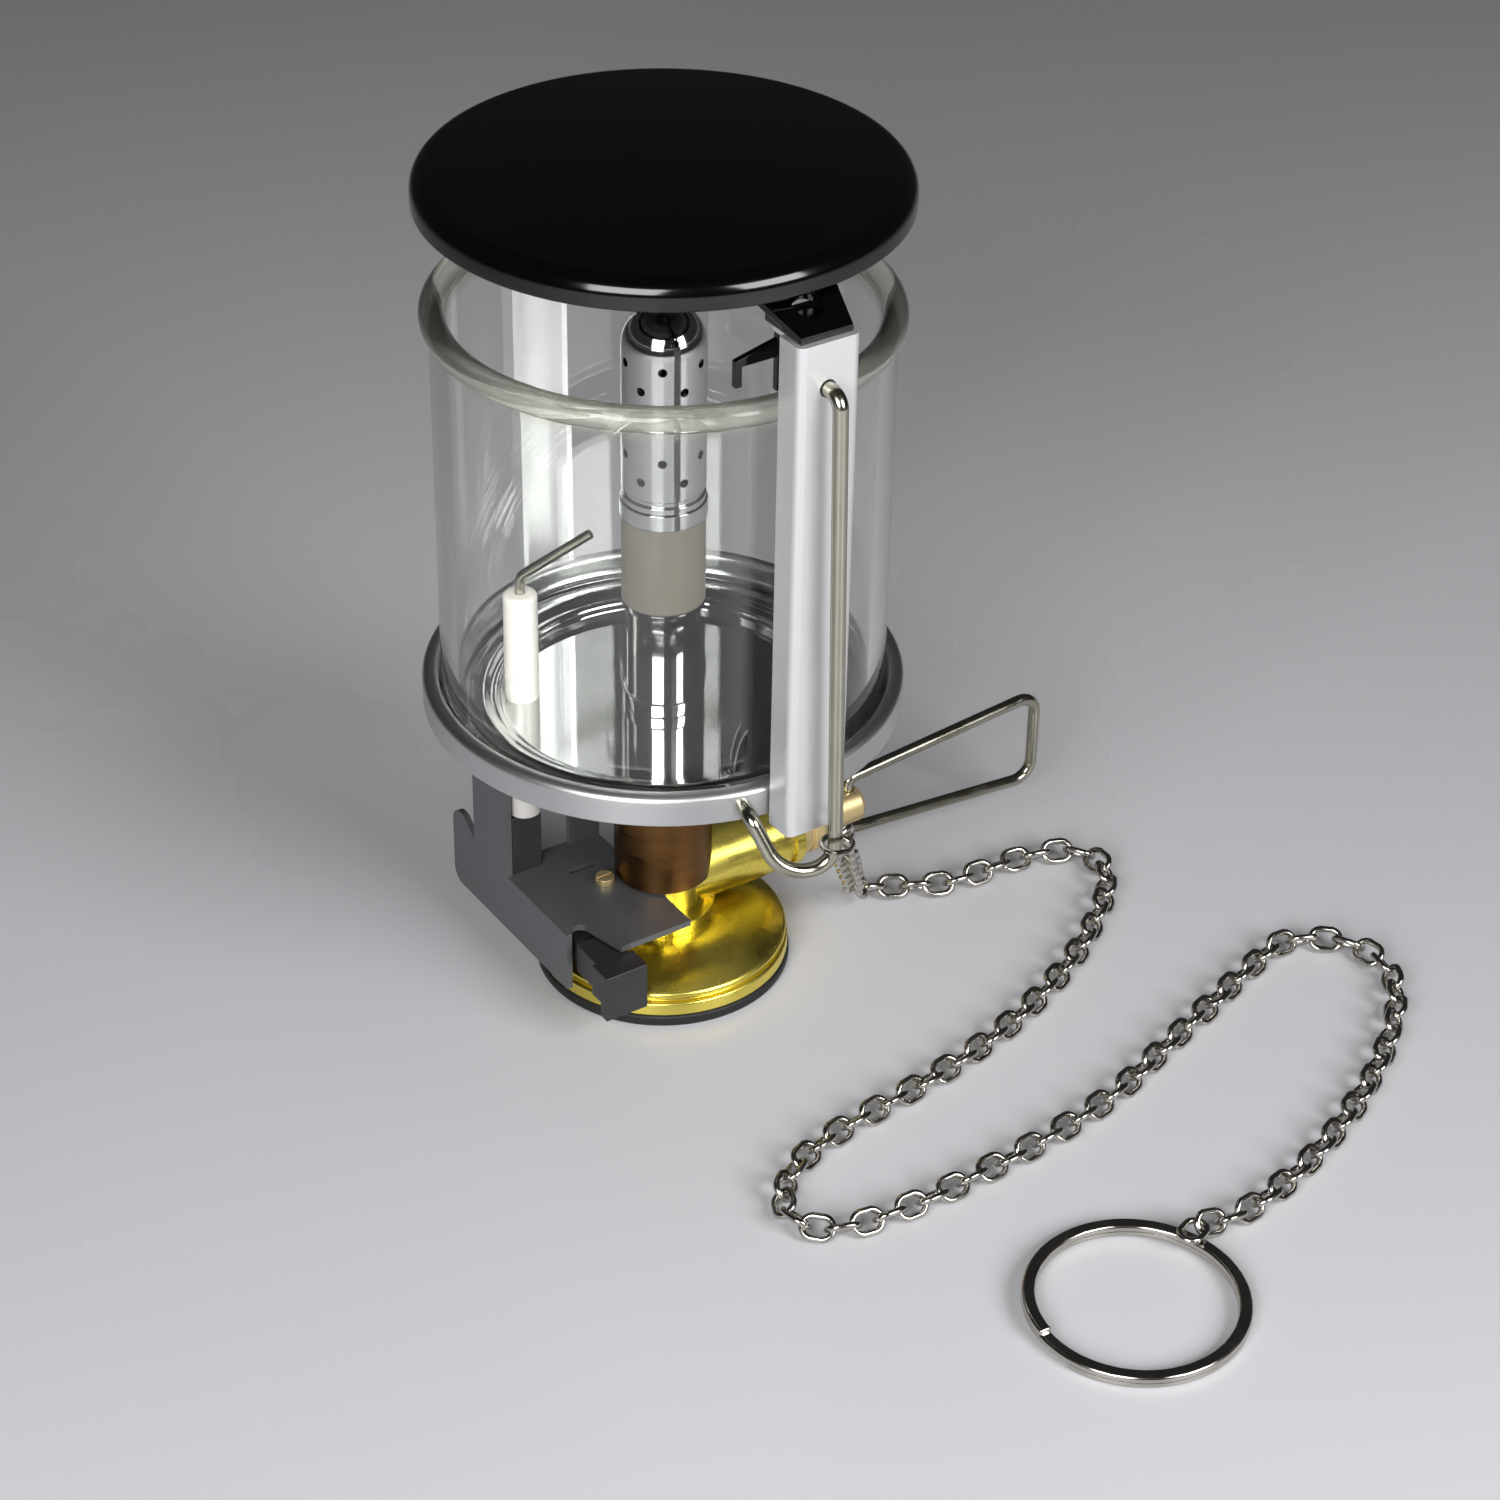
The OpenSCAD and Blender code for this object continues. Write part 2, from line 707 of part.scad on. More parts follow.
module arm_rivets() {
    color("#b9bcc0") for (s = [-1, 1]) {
        translate([0, s * rivet_y, strut_top - strut_t]) cylinder(h = strut_t + arm_t, r = rivet_r);
        translate([0, s * rivet_y, strut_top - strut_t - rivet_low[1]])
            cylinder(h = rivet_low[1], r = rivet_low[0]);
        translate([0, s * rivet_y, strut_top + arm_t]) cylinder(h = rivet_high[1], r = rivet_high[0]);
    }
}

// The hood's half section, grown inwards by t
module hood_section(t) {
    intersection() {
        translate([0, dome_top - dome_R]) circle(dome_R - t, $fn = 180);
        band(0, dome_in_r, edge_z, edge_r + dome_h);
    }
    translate([dome_in_r, edge_z]) circle(edge_r - t);
    band(0, hood_r - t, hood_z - (t > 0 ? 1 : 0), edge_z - hood_z + (t > 0 ? 1 : 0));
}

module hood() {
    color("#101010") rotate_extrude() intersection() {
        difference() {
            hood_section(0);
            hood_section(hood_sheet);
        }
        band(0, hood_r + 1, hood_z, dome_top - hood_z + 1);
    }
}

module rail_wire() {
    skirt_in = on_circle(dish_r - sheet - 0.3, rail_end_angle);
    skirt_out = on_circle(dish_r + 2.6, rail_end_angle);
    color("#8c8a76") bent_wire(
        [
            [rail_top.x, -strut_out + 2.2, rail_hole_z],
            rail_top,
            rail_low,
            rail_turn,
            [skirt_out.x, skirt_out.y, rail_end_z],
            [skirt_in.x, skirt_in.y, rail_end_z],
        ],
        [rail_hook_bend, rail_bend, rail_turn_bend, rail_hook_bend],
        rail_r,
        [1, -1, 1]
    );
}

module chain_end_link() {
    u = square_to(rail_line);
    color("#b8babd") placed(link_at, u, cross(rail_line, u), rail_line)
        rotate_extrude() translate([link_r, 0]) circle(link_wire_r, $fn = 24);
}

// A smooth curve through the route's points, and a tube swept along it
function route_point(i) = chain_route[max(0, min(len(chain_route) - 1, i))];
function smooth(a, b, c, d, t) =
    0.5 * (2 * b + (c - a) * t + (2 * a - 5 * b + 4 * c - d) * t * t + (3 * b - a - 3 * c + d) * t * t * t);
chain_line = concat(
    [for (i = [0:len(chain_route) - 2], k = [0:chain_steps - 1])
        smooth(route_point(i - 1), route_point(i), route_point(i + 1), route_point(i + 2), k / chain_steps)],
    [route_point(len(chain_route) - 1)]
);

module hanging_chain() {
    color("#b8babd") tube(chain_line, chain_r, chain_sides, [0, 0, 1], chain_neck_r);
}

module split_ring() {
    color("#b8babd") translate([split_at.x, split_at.y, 0]) rotate_extrude() {
        band(split_r - split_w, split_r, 0, split_h / 2 - 0.1);
        band(split_r - split_w + 0.3, split_r - 0.3, 0, split_h);
        band(split_r - split_w, split_r, split_h / 2 + 0.1, split_h / 2 - 0.1);
    }
}

// The bracket's wall and riser, seen along X
module wall_outline() {
    height = plate_top - wall_low;
    translate([wall_near, wall_low]) square([riser_y[1] - wall_near, height]);
    translate([riser_y[0], plate_z]) square([riser_y[1] - riser_y[0], dish_under - plate_z]);
    hull() {
        translate([riser_y[1] - 1, wall_low]) square([1, height]);
        for (z = [wall_low + ear_r, ear_top - ear_r]) {
            translate([wall_far - ear_r, z]) circle(ear_r);
        }
    }
}

// Bracket: plate round the valve with a notch over the igniter's button, wall and riser at its edge
module igniter_bracket() {
    color("#5c5e60") difference() {
        union() {
            translate([-plate_out, -plate_y, plate_z]) cube([plate_out - plate_in, 2 * plate_y, bracket_t]);
            translate([-plate_out, 0, plate_z]) cube([boot_w + gap, riser_y[1], bracket_t]);
            translate([-plate_out - bracket_t, 0, 0]) rotate([90, 0, 90])
                linear_extrude(bracket_t) wall_outline();
            translate([-plate_out - bracket_t, riser_y[0], dish_under - bracket_t])
                cube([riser_tab, riser_y[1] - riser_y[0], bracket_t]);
            translate([-plate_in - back_w, plate_y - bracket_t, plate_z])
                cube([back_w, bracket_t, dish_under - plate_z]);
        }
        hull() {
            translate([-plate_out + notch_at.x, notch_at.y, plate_z - 1]) cylinder(h = 3, r = notch_r);
            translate([-plate_out - 1, -plate_y - 2, plate_z - 1]) cube([plate_out + 1 - nose_x, 2, 3]);
        }
        translate([0, 0, plate_z - 1]) cylinder(h = 3, r = core_r + gap);
        translate([screw_at.x, screw_at.y, plate_z - 1]) cylinder(h = 3, r = screw_r + fit);
        translate([slot_at.x, slot_at.y, plate_z - 1]) cube([slot_size.x, slot_size.y, 3]);
        translate([electrode_at.x, electrode_at.y, plate_z - 1]) cylinder(h = 3, r = lead_r + fit);
        insulator_hole(dish_under);
    }
}

module bracket_screw() {
    shank = plate_top - base_top - neck_h;
    color("#d3b15e") translate([screw_at.x, screw_at.y, plate_top]) difference() {
        union() {
            translate([0, 0, -shank]) cylinder(h = shank, r = screw_r);
            cylinder(h = screw_head_h, r = screw_head_r);
        }
        translate([-screw_head_r - 1, -screw_slot[0] / 2, screw_head_h - screw_slot[1]])
            cube([2 * screw_head_r + 2, screw_slot[0], 1]);
    }
}

// A square bar along Y from y, centred on the igniter's axis
module igniter_bar(y, length, w, h) {
    translate([-igniter_x, y, igniter_z]) rotate([-90, 0, 0]) linear_extrude(length)
        square([w, h], center = true);
}

module igniter_body() {
    color("#1a1a1b") {
        igniter_bar(igniter_front, igniter_len, igniter_w, igniter_h);
        igniter_bar(igniter_front - nose_len, nose_len + 1, nose_w, nose_h);
    }
}

// A hollow cap on the igniter's nose, with a finger pad that reaches down over the base's rim
module igniter_button() {
    bore_y = igniter_front - nose_len - button_travel - gap;
    button_low = plate_z - igniter_h;
    color("#2b2b2d") difference() {
        union() {
            igniter_bar(button_front, sleeve_end - button_front, sleeve_w, sleeve_h);
            translate([-igniter_x - button_w / 2, button_front, button_low])
                cube([button_w, button_len, button_top - button_low]);
            translate([-igniter_x - button_w / 2, button_front, lip_z])
                cube([button_w, lip_t, button_top - lip_z]);
        }
        igniter_bar(bore_y, sleeve_end - bore_y + 1, nose_w + 2 * slip, nose_h + 2 * slip);
    }
}

module electrode_insulator() {
    color("#f2f0ea") translate([electrode_at.x, electrode_at.y, 0]) rotate_extrude() {
        band(electrode_r + fit, insulator_r, electrode_low, electrode_top - electrode_low - 0.5);
        band(electrode_r + fit, insulator_r - 0.5, electrode_top - 0.5, 0.5);
    }
}

module electrode_wire() {
    tip = on_circle(head_r + spark_gap, electrode_angle);
    across = on_circle(1, electrode_angle + 90);
    color("#8f9194") bent_wire(
        [
            [electrode_at.x, electrode_at.y, electrode_low + 1],
            [electrode_at.x, electrode_at.y, electrode_top + spark_up],
            [tip.x, tip.y, electrode_top + spark_rise],
        ],
        [1.4],
        electrode_r,
        [across.x, across.y, 0]
    );
}

// The lead's end through the plate, in its boot under the insulator
module ignition_lead() {
    color("#1c1c1d") {
        translate([electrode_at.x, electrode_at.y, plate_z]) cylinder(h = bracket_t + 1, r = lead_r);
        translate([-plate_out + slip, electrode_at.y - 1, plate_top]) cube([boot_w, boot_len, boot_h]);
    }
}

base_ring();
base_disc();
canister_seal();
valve_pin();
valve_body();
jet();
packing_nut();
spindle_oring();
valve_spindle();
spindle_knob();
valve_handle();
mixer_column();
tray();
burner_tube();
burner_sleeve();
mantle_collar();
burner_head();
glass_globe();
front_strut();
rear_strut();
hood_arm();
arm_rivets();
hood();
rail_wire();
chain_end_link();
hanging_chain();
split_ring();
igniter_bracket();
bracket_screw();
igniter_body();
igniter_button();
electrode_insulator();
electrode_wire();
ignition_lead();
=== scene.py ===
"""Canister gas lantern: the dressed model of a packed assembly, with its studio stage."""

import math
import random

import bmesh
import bpy
from bpy.props import FloatProperty, FloatVectorProperty, IntProperty, PointerProperty
from mathutils import Matrix, Vector


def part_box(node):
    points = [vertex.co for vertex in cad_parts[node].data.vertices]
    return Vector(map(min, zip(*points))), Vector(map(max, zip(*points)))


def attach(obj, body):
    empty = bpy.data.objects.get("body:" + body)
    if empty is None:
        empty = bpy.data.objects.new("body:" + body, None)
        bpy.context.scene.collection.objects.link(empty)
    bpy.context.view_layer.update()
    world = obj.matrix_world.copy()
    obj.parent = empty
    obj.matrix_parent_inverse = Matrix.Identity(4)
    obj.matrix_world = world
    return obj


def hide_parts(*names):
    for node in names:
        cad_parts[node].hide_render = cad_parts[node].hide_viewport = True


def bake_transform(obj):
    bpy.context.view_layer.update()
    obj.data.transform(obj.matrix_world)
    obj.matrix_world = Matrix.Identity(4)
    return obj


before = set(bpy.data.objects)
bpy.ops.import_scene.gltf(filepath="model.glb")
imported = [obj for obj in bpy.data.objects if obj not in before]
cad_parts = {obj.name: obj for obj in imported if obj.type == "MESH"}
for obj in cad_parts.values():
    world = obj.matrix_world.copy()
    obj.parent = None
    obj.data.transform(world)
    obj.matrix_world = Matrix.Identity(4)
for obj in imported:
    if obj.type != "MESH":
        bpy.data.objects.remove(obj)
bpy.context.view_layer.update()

bl_info = {
    "name": "Canister gas lantern",
    "version": (1, 0, 0),
    "blender": (4, 5, 0),
    "location": "View3D > Sidebar > Lantern",
    "description": "Builds a gas lantern with its chain, finishes and studio stage",
    "category": "Add Mesh",
}

MM = 0.001
UP = Vector((0, 0, 1))
ORIGIN = (0, 0, 0)
EVEN = (1, 1, 1)

# Height of the valve spindle's axis in millimetres
SPINDLE_Z = 12.0

# Points closer than these, in metres, are one: in made meshes, and in copies of the solids
WELD = 1e-6
SOLID_WELD = 2e-6

# The bevel's profile that makes a round corner
ROUND = 0.5

# Octaves of the noise in clouds, in grain and in tarnish, and the part of the noise that roughness follows
CLOUD_DETAIL = 4
GRAIN_DETAIL = 3
SPOT_DETAIL = 6
CLOUD_RANGE = (0.3, 0.7)

# The Mix node's sockets for colours, by place because its sockets share names
MIX_SHARE, MIX_FIRST, MIX_SECOND, MIX_RESULT = 0, 6, 7, 2

# The chain's route in millimetres, from the ring on the rail wire down to the floor and on to the split ring
CHAIN_DROP = (
    (2.558, -34.544, 37.565), (8.6, -27, 28), (14.7, -19.5, 19), (20.8, -12, 10.2), (24.9, -6.9, 4.4),
    (28.1, -5.4, 2),
)
CHAIN_LIES = 1.7
CHAIN_ON_FLOOR = (
    (31, -6.5), (34, -8.2), (37.4, -9.6), (42, -10.1), (46.5, -10.2), (51.3, -10.9), (55.6, -12.8), (57, -17),
    (54, -22), (48, -27), (40, -32), (30, -36.5), (20, -39.5), (9, -41.5), (-2, -43), (-9, -45), (-14, -48.5),
    (-15.5, -52), (-14, -56), (-9, -58), (0, -58.5), (10, -58), (20, -57), (30, -55), (40, -51.5), (50, -48),
    (60, -44.5), (66, -43), (71.5, -45.5), (74, -50), (73, -56), (68, -62), (60, -68), (50, -73.5),
    (40, -77.5), (32, -79.5), (27, -80), (22.3, -79.6),
)
CHAIN_ROUTE = CHAIN_DROP + tuple((x, y, CHAIN_LIES) for x, y in CHAIN_ON_FLOOR)
CHAIN_SEED = 4
SPLIT_AT = Vector((9.5, -84.5, 0)) * MM

# The stage in metres: soft boxes, floor, the dark round it, and the camera's place and directions
SOFT_BOXES = {"soft_box_left": (-0.34, -0.3, 0.26), "soft_box_right": (0.12, -0.46, 0.28)}
SOFT_BOX_SIDE = 0.26
SOFT_BOX_AIM = (0, -0.05, 0.03)
FLOOR_HALF = 3
WORLD_GREY = (0.03, 0.03, 0.031, 1)
CAMERA_AT = (-0.1949, -0.3080, 0.2786)
CAMERA_RIGHT = (0.829, -0.559, 0)
CAMERA_AHEAD = (0.4624, 0.6855, -0.5624)
CAMERA_ROLL = math.radians(-1.04)


def linear(code):
    """Turns an sRGB hex colour into linear RGB."""
    parts = [int(code[i:i + 2], 16) / 255 for i in (0, 2, 4)]
    return tuple(c / 12.92 if c <= 0.04045 else ((c + 0.055) / 1.055) ** 2.4 for c in parts)


def colour(name, description, code):
    """A colour property, from an sRGB hex colour."""
    return FloatVectorProperty(
        name=name, description=description, subtype="COLOR", size=3, min=0, max=1, default=linear(code)
    )


def length(name, description, millimetres):
    """A length property, from millimetres."""
    return FloatProperty(
        name=name, description=description, unit="LENGTH", subtype="DISTANCE", min=0, default=millimetres * MM
    )


class LanternSizes(bpy.types.PropertyGroup):
    """Sizes of the dressed pieces that the solids leave open."""

    edge_ease: length("Edge ease", "Width of the eased edge on sheet and cast pieces", 0.14)
    link_length: length("Link length", "Outer length of a chain link", 4.6)
    link_width: length("Link width", "Outer width of a chain link", 3.5)
    link_wire: length("Link wire", "Diameter of the chain's wire", 0.82)
    split_band: length("Split ring band", "Width of the split ring's band", 1.6)
    turn_steps: IntProperty(
        name="Turning steps", description="Faces round a turned piece", default=112, min=24
    )


class LanternColours(bpy.types.PropertyGroup):
    """Base colours of the lantern's finishes."""

    enamel: colour("Enamel", "Gloss black of the hood and its arms", "030304")
    stainless: colour("Stainless", "Polished stainless sheet", "cfd0d0")
    satin: colour("Satin stainless", "Brushed stainless of the struts", "d8d8d9")
    brass: colour("Brass", "Polished brass of the valve and base", "f5e26c")
    tarnish: colour("Tarnish", "Brown spots on the brass", "6a4a1c")
    golden: colour("Golden brass", "Turned brass of the nut, knob and screw", "f0d8a0")
    bronze: colour("Bronze", "Heat-browned mixer column", "85603a")
    sheet_steel: colour("Sheet steel", "Dull grey sheet of the bracket", "747678")
    nickel: colour("Nickel", "Nickel plate of the chain and split ring", "c9c5bd")
    wire: colour("Wire", "Drawn stainless wire", "b9b6a6")
    glass: colour("Glass", "Body of the globe", "fbfcfa")
    glass_rim: colour("Glass rim", "Thick rolled rim of the globe", "f6f7e8")
    white_ceramic: colour("White ceramic", "Electrode insulator", "cfccc6")
    grey_ceramic: colour("Grey ceramic", "Sleeve on the burner tube", "625e54")
    rubber: colour("Rubber", "Foot ring and seals", "151516")
    black_plastic: colour("Black plastic", "Igniter and its lead", "29292b")


class LanternStage(bpy.types.PropertyGroup):
    """Floor, light and camera."""

    floor: colour("Floor", "Pale glossy sheet that the lantern stands on", "d6d6da")
    key_power: FloatProperty(
        name="Key light", description="Power of each soft box beside the camera", default=2.1, unit="POWER"
    )
    focal: FloatProperty(name="Focal length", description="Lens on a 36 mm sensor", default=86.4, min=20)


def add_node(tree, kind, inputs=None, **settings):
    """Adds a node, sets its options, and fills or links its inputs."""
    made = tree.nodes.new(kind)
    for key, value in settings.items():
        setattr(made, key, value)
    for key, value in (inputs or {}).items():
        if isinstance(value, bpy.types.NodeSocket):
            tree.links.new(value, made.inputs[key])
        else:
            made.inputs[key].default_value = value
    return made


def start_material(name, constants):
    """A material with its shader's plain values set, and the Object coordinates that its patterns read."""
    material = bpy.data.materials.new(name)
    material.use_nodes = True
    tree = material.node_tree
    shader = tree.nodes["Principled BSDF"]
    for socket, value in constants.items():
        shader.inputs[socket].default_value = value
    where = add_node(tree, "ShaderNodeTexCoord").outputs["Object"]
    return material, tree, shader, where


def stretched(tree, where, stretch):
    """Coordinates scaled on each axis."""
    return add_node(tree, "ShaderNodeMapping", {"Vector": where, "Scale": stretch}).outputs["Vector"]


def noise(tree, at, size, detail):
    """Noise with features of that size in millimetres."""
    inputs = {"Vector": at, "Scale": 1 / (size * MM), "Detail": detail}
    return add_node(tree, "ShaderNodeTexNoise", inputs).outputs["Fac"]


def ranged(tree, value, start, end, low=0.0, high=1.0):
    """A value mapped from one range to another, and held at its ends."""
    inputs = {"Value": value, "From Min": start, "From Max": end, "To Min": low, "To Max": high}
    return add_node(tree, "ShaderNodeMapRange", inputs).outputs["Result"]


def mixed(tree, share, first, second):
    """A colour between two others."""
    inputs = {MIX_SHARE: share, MIX_FIRST: first, MIX_SECOND: second}
    return add_node(tree, "ShaderNodeMix", inputs, data_type="RGBA").outputs[MIX_RESULT]


def shaded(rgb, share=1.0):
    """A colour darkened to that share, with its alpha."""
    return tuple(c * share for c in rgb) + (1,)


def vary(tree, shader, where, rgb, size, spread, rough=None, stretch=EVEN):
    """Clouds the base colour by spread, and any roughness between its two values, at one feature size."""
    cloud = noise(tree, stretched(tree, where, stretch), size, CLOUD_DETAIL)
    tone = mixed(tree, cloud, shaded(rgb, 1 - spread), shaded(rgb))
    tree.links.new(tone, shader.inputs["Base Color"])
    if rough:
        tree.links.new(ranged(tree, cloud, *CLOUD_RANGE, *rough), shader.inputs["Roughness"])
    return tone


def roughen(tree, shader, where, size, depth, stretch=EVEN):
    """Bump of that grain size and depth in millimetres."""
    grain = noise(tree, stretched(tree, where, stretch), size, GRAIN_DETAIL)
    bump = add_node(tree, "ShaderNodeBump", {"Height": grain, "Distance": depth * MM, "Strength": 1.0})
    tree.links.new(bump.outputs["Normal"], shader.inputs["Normal"])


def plain_finish(name, constants, rgb, clouds, grain, flow=EVEN, lines=EVEN):
    """A finish of one colour, with clouds of (size, spread, roughness) and a bump of (grain size, depth)."""
    material, tree, shader, where = start_material(name, constants)
    vary(tree, shader, where, rgb, *clouds, flow)
    roughen(tree, shader, where, *grain, lines)
    return material


def dish_finish(colours):
    """Pressed stainless: a mirror inside, satin on the rim and skirt that the press has drawn over."""
    material, tree, shader, where = start_material("pressed_stainless_dish", {"Metallic": 1.0})
    vary(tree, shader, where, colours.stainless, 7, 0.12)
    mirror_ends, satin_starts = 0.0265, 0.0274
    mirror, satin = 0.06, 0.36
    flat = add_node(tree, "ShaderNodeVectorMath", {0: where, 1: (1, 1, 0)}, operation="MULTIPLY")
    radius = add_node(tree, "ShaderNodeVectorMath", {0: flat.outputs["Vector"]}, operation="LENGTH")
    rough = ranged(tree, radius.outputs["Value"], mirror_ends, satin_starts, mirror, satin)
    tree.links.new(rough, shader.inputs["Roughness"])
    return material


def brass_finish(colours):
    """Turned and polished brass: a warm yellow mirror, clouded and spotted brown where it has tarnished."""
    material, tree, shader, where = start_material("polished_tarnished_brass", {"Metallic": 1.0})
    tone = vary(tree, shader, where, colours.brass, 6, 0.16, (0.2, 0.34))
    spot_size, spot_starts, spot_full, spot_share = 3.4, 0.62, 0.76, 0.5
    spots = noise(tree, where, spot_size, SPOT_DETAIL)
    brown = ranged(tree, spots, spot_starts, spot_full, high=spot_share)
    tree.links.new(mixed(tree, brown, tone, shaded(colours.tarnish)), shader.inputs["Base Color"])
    roughen(tree, shader, where, 0.9, 0.003)
    return material


def glass_finish(colours):
    """Blown borosilicate glass: clear, with a yellow-green cast where the rolled rim is thick."""
    material, tree, shader, where = start_material(
        "clear_borosilicate_glass", {"IOR": 1.47, "Roughness": 0.0, "Transmission Weight": 1.0}
    )
    tint_starts, rim_starts, rim_full = 0.0880, 0.0885, 0.0900
    rim_transmission, rim_alpha = 0.91, 0.8
    height = add_node(tree, "ShaderNodeSeparateXYZ", {"Vector": where}).outputs["Z"]
    cast = ranged(tree, height, tint_starts, rim_full)
    by_socket = {
        "Base Color": mixed(tree, cast, shaded(colours.glass), shaded(colours.glass_rim)),
        "Transmission Weight": ranged(tree, height, rim_starts, rim_full, 1.0, rim_transmission),
        "Alpha": ranged(tree, height, rim_starts, rim_full, 1.0, rim_alpha),
    }
    for socket, value in by_socket.items():
        tree.links.new(value, shader.inputs[socket])
    return material


def make_finishes(colours):
    """All of the lantern's materials, by the name of what they are."""
    return {
        # Stoved enamel on pressed steel: deep black, with a glossy skin that is faintly uneven
        "enamel": plain_finish(
            "stoved_black_enamel", {"IOR": 1.5, "Coat Weight": 0.2, "Coat Roughness": 0.08}, colours.enamel,
            (9, 0.3, (0.1, 0.16)), (2.2, 0.004),
        ),
        # Polished stainless sheet: clean mirror, faintly clouded by wiping and very slightly uneven
        "stainless": plain_finish(
            "polished_stainless_sheet", {"Metallic": 1.0}, colours.stainless,
            (7, 0.12, (0.05, 0.1)), (6, 0.003),
        ),
        "dish": dish_finish(colours),
        # Brushed stainless strip: bright satin with lines along its length
        "satin": plain_finish(
            "brushed_stainless_strip", {"Metallic": 0.55}, colours.satin,
            (6, 0.08, (0.32, 0.44)), (0.5, 0.002), lines=(5, 5, 0.15),
        ),
        "brass": brass_finish(colours),
        # Turned brass rod: golden, with the fine rings of the lathe drawn as coarse as shows
        "golden": plain_finish(
            "turned_brass_rod", {"Metallic": 0.85}, colours.golden,
            (3, 0.15, (0.3, 0.42)), (0.5, 0.003), lines=(5, 0.3, 0.3),
        ),
        # Bronze tube browned by heat: satin, streaked darker
        "bronze": plain_finish(
            "heat_browned_bronze", {"Metallic": 1.0}, colours.bronze,
            (2.5, 0.5, (0.22, 0.42)), (0.6, 0.004), flow=(0.4, 0.4, 2), lines=(0.3, 0.3, 4),
        ),
        # Cold-rolled steel sheet, unpolished: dull grey with rolling streaks
        "sheet_steel": plain_finish(
            "cold_rolled_steel_sheet", {"Metallic": 0.6}, colours.sheet_steel,
            (5, 0.25, (0.34, 0.5)), (0.35, 0.004), flow=(1, 0.35, 1),
        ),
        # Bright nickel plate on steel: hard mirror, slightly warm, duller where links rub
        "nickel": plain_finish(
            "bright_nickel_plate", {"Metallic": 1.0}, colours.nickel,
            (3, 0.3, (0.1, 0.24)), (0.5, 0.002),
        ),
        # Drawn stainless wire: mirror with lengthwise die lines, slightly straw coloured
        "wire": plain_finish(
            "drawn_stainless_wire", {"Metallic": 1.0}, colours.wire,
            (4, 0.25, (0.12, 0.24)), (0.4, 0.002), lines=(4, 4, 0.3),
        ),
        "glass": glass_finish(colours),
        # Glazed alumina: white, smooth, faintly cloudy
        "white_ceramic": plain_finish(
            "glazed_alumina", {"IOR": 1.6}, colours.white_ceramic,
            (4, 0.07, (0.24, 0.36)), (1.2, 0.006),
        ),
        # Unglazed ceramic fibre sleeve: matte, granular, stained by heat
        "grey_ceramic": plain_finish(
            "unglazed_ceramic", {"IOR": 1.5}, colours.grey_ceramic,
            (2.4, 0.28, (0.6, 0.8)), (0.4, 0.03),
        ),
        # Moulded nitrile rubber: black, dull, with a fine moulded grain
        "rubber": plain_finish(
            "moulded_nitrile_rubber", {"IOR": 1.52}, colours.rubber,
            (3, 0.3, (0.5, 0.68)), (0.4, 0.02),
        ),
        # Moulded ABS: black with a light spark-eroded texture
        "plastic": plain_finish(
            "moulded_black_abs", {"IOR": 1.54}, colours.black_plastic,
            (3, 0.25, (0.34, 0.48)), (0.35, 0.012),
        ),
    }


def finish_of(name):
    """A finish that make_finishes made, by its key."""
    return bpy.data.materials[bpy.context.scene["lantern_finishes"][name]]


def stored(mesh, name):
    """A bmesh written to a new mesh, and freed."""
    data = bpy.data.meshes.new(name)
    mesh.to_mesh(data)
    mesh.free()
    return data


def placed(name, data):
    """A new object in the scene that holds the data."""
    thing = bpy.data.objects.new(name, data)
    bpy.context.scene.collection.objects.link(thing)
    return thing


def as_built(thing):
    """An object's mesh with its modifiers or its wire built, and a bmesh of it."""
    data = bpy.data.meshes.new_from_object(thing.evaluated_get(bpy.context.evaluated_depsgraph_get()))
    mesh = bmesh.new()
    mesh.from_mesh(data)
    return data, mesh


def outlined(mesh, places, closed):
    """New vertices at the places, joined in order by edges."""
    corners = [mesh.verts.new(place) for place in places]
    for pair in zip(corners, corners[1:] + corners[:1] if closed else corners[1:]):
        mesh.edges.new(pair)
    return corners


def ordered(first):
    """The vertices of an open line of edges, from its first vertex on."""
    line, came = [first], None
    while True:
        ways = [e for e in line[-1].link_edges if e is not came]
        if not ways:
            return line
        came = ways[0]
        line.append(came.other_vert(line[-1]))


def rounded(mesh, corner, offset, steps):
    """Bevels a corner of a line, from that far off on both sides."""
    bmesh.ops.bevel(
        mesh, geom=[corner], offset=offset, offset_type="OFFSET", segments=steps, profile=ROUND,
        affect="VERTICES", material=-1,
    )


def bent_line(points, bends):
    """Points in millimetres joined by a line, with each inner corner bent to its own radius, in metres."""
    mesh = bmesh.new()
    corners = outlined(mesh, [Vector(p) * MM for p in points], closed=False)
    places = [c.co.copy() for c in corners]
    for i, bend in enumerate(bends, 1):
        open_angle = (places[i - 1] - places[i]).angle(places[i + 1] - places[i])
        rounded(mesh, corners[i], bend * MM / math.tan(open_angle / 2), steps=8)
    line = [v.co.copy() for v in ordered(corners[0])]
    mesh.free()
    return line


def drawn_wire(line, radius):
    """A round wire along a line, as a bmesh."""
    curve = bpy.data.curves.new("wire_line", "CURVE")
    curve.dimensions = "3D"
    spline = curve.splines.new("POLY")
    spline.points.add(len(line) - 1)
    for point, place in zip(spline.points, line):
        point.co = (*place, 1)
    curve.bevel_depth = radius * MM
    curve.bevel_resolution = 5
    curve.use_fill_caps = True
    holder = placed("wire_line", curve)
    data, mesh = as_built(holder)
    bmesh.ops.remove_doubles(mesh, verts=mesh.verts, dist=WELD)
    bmesh.ops.recalc_face_normals(mesh, faces=mesh.faces)
    bpy.data.objects.remove(holder)
    bpy.data.curves.remove(curve)
    bpy.data.meshes.remove(data)
    return mesh


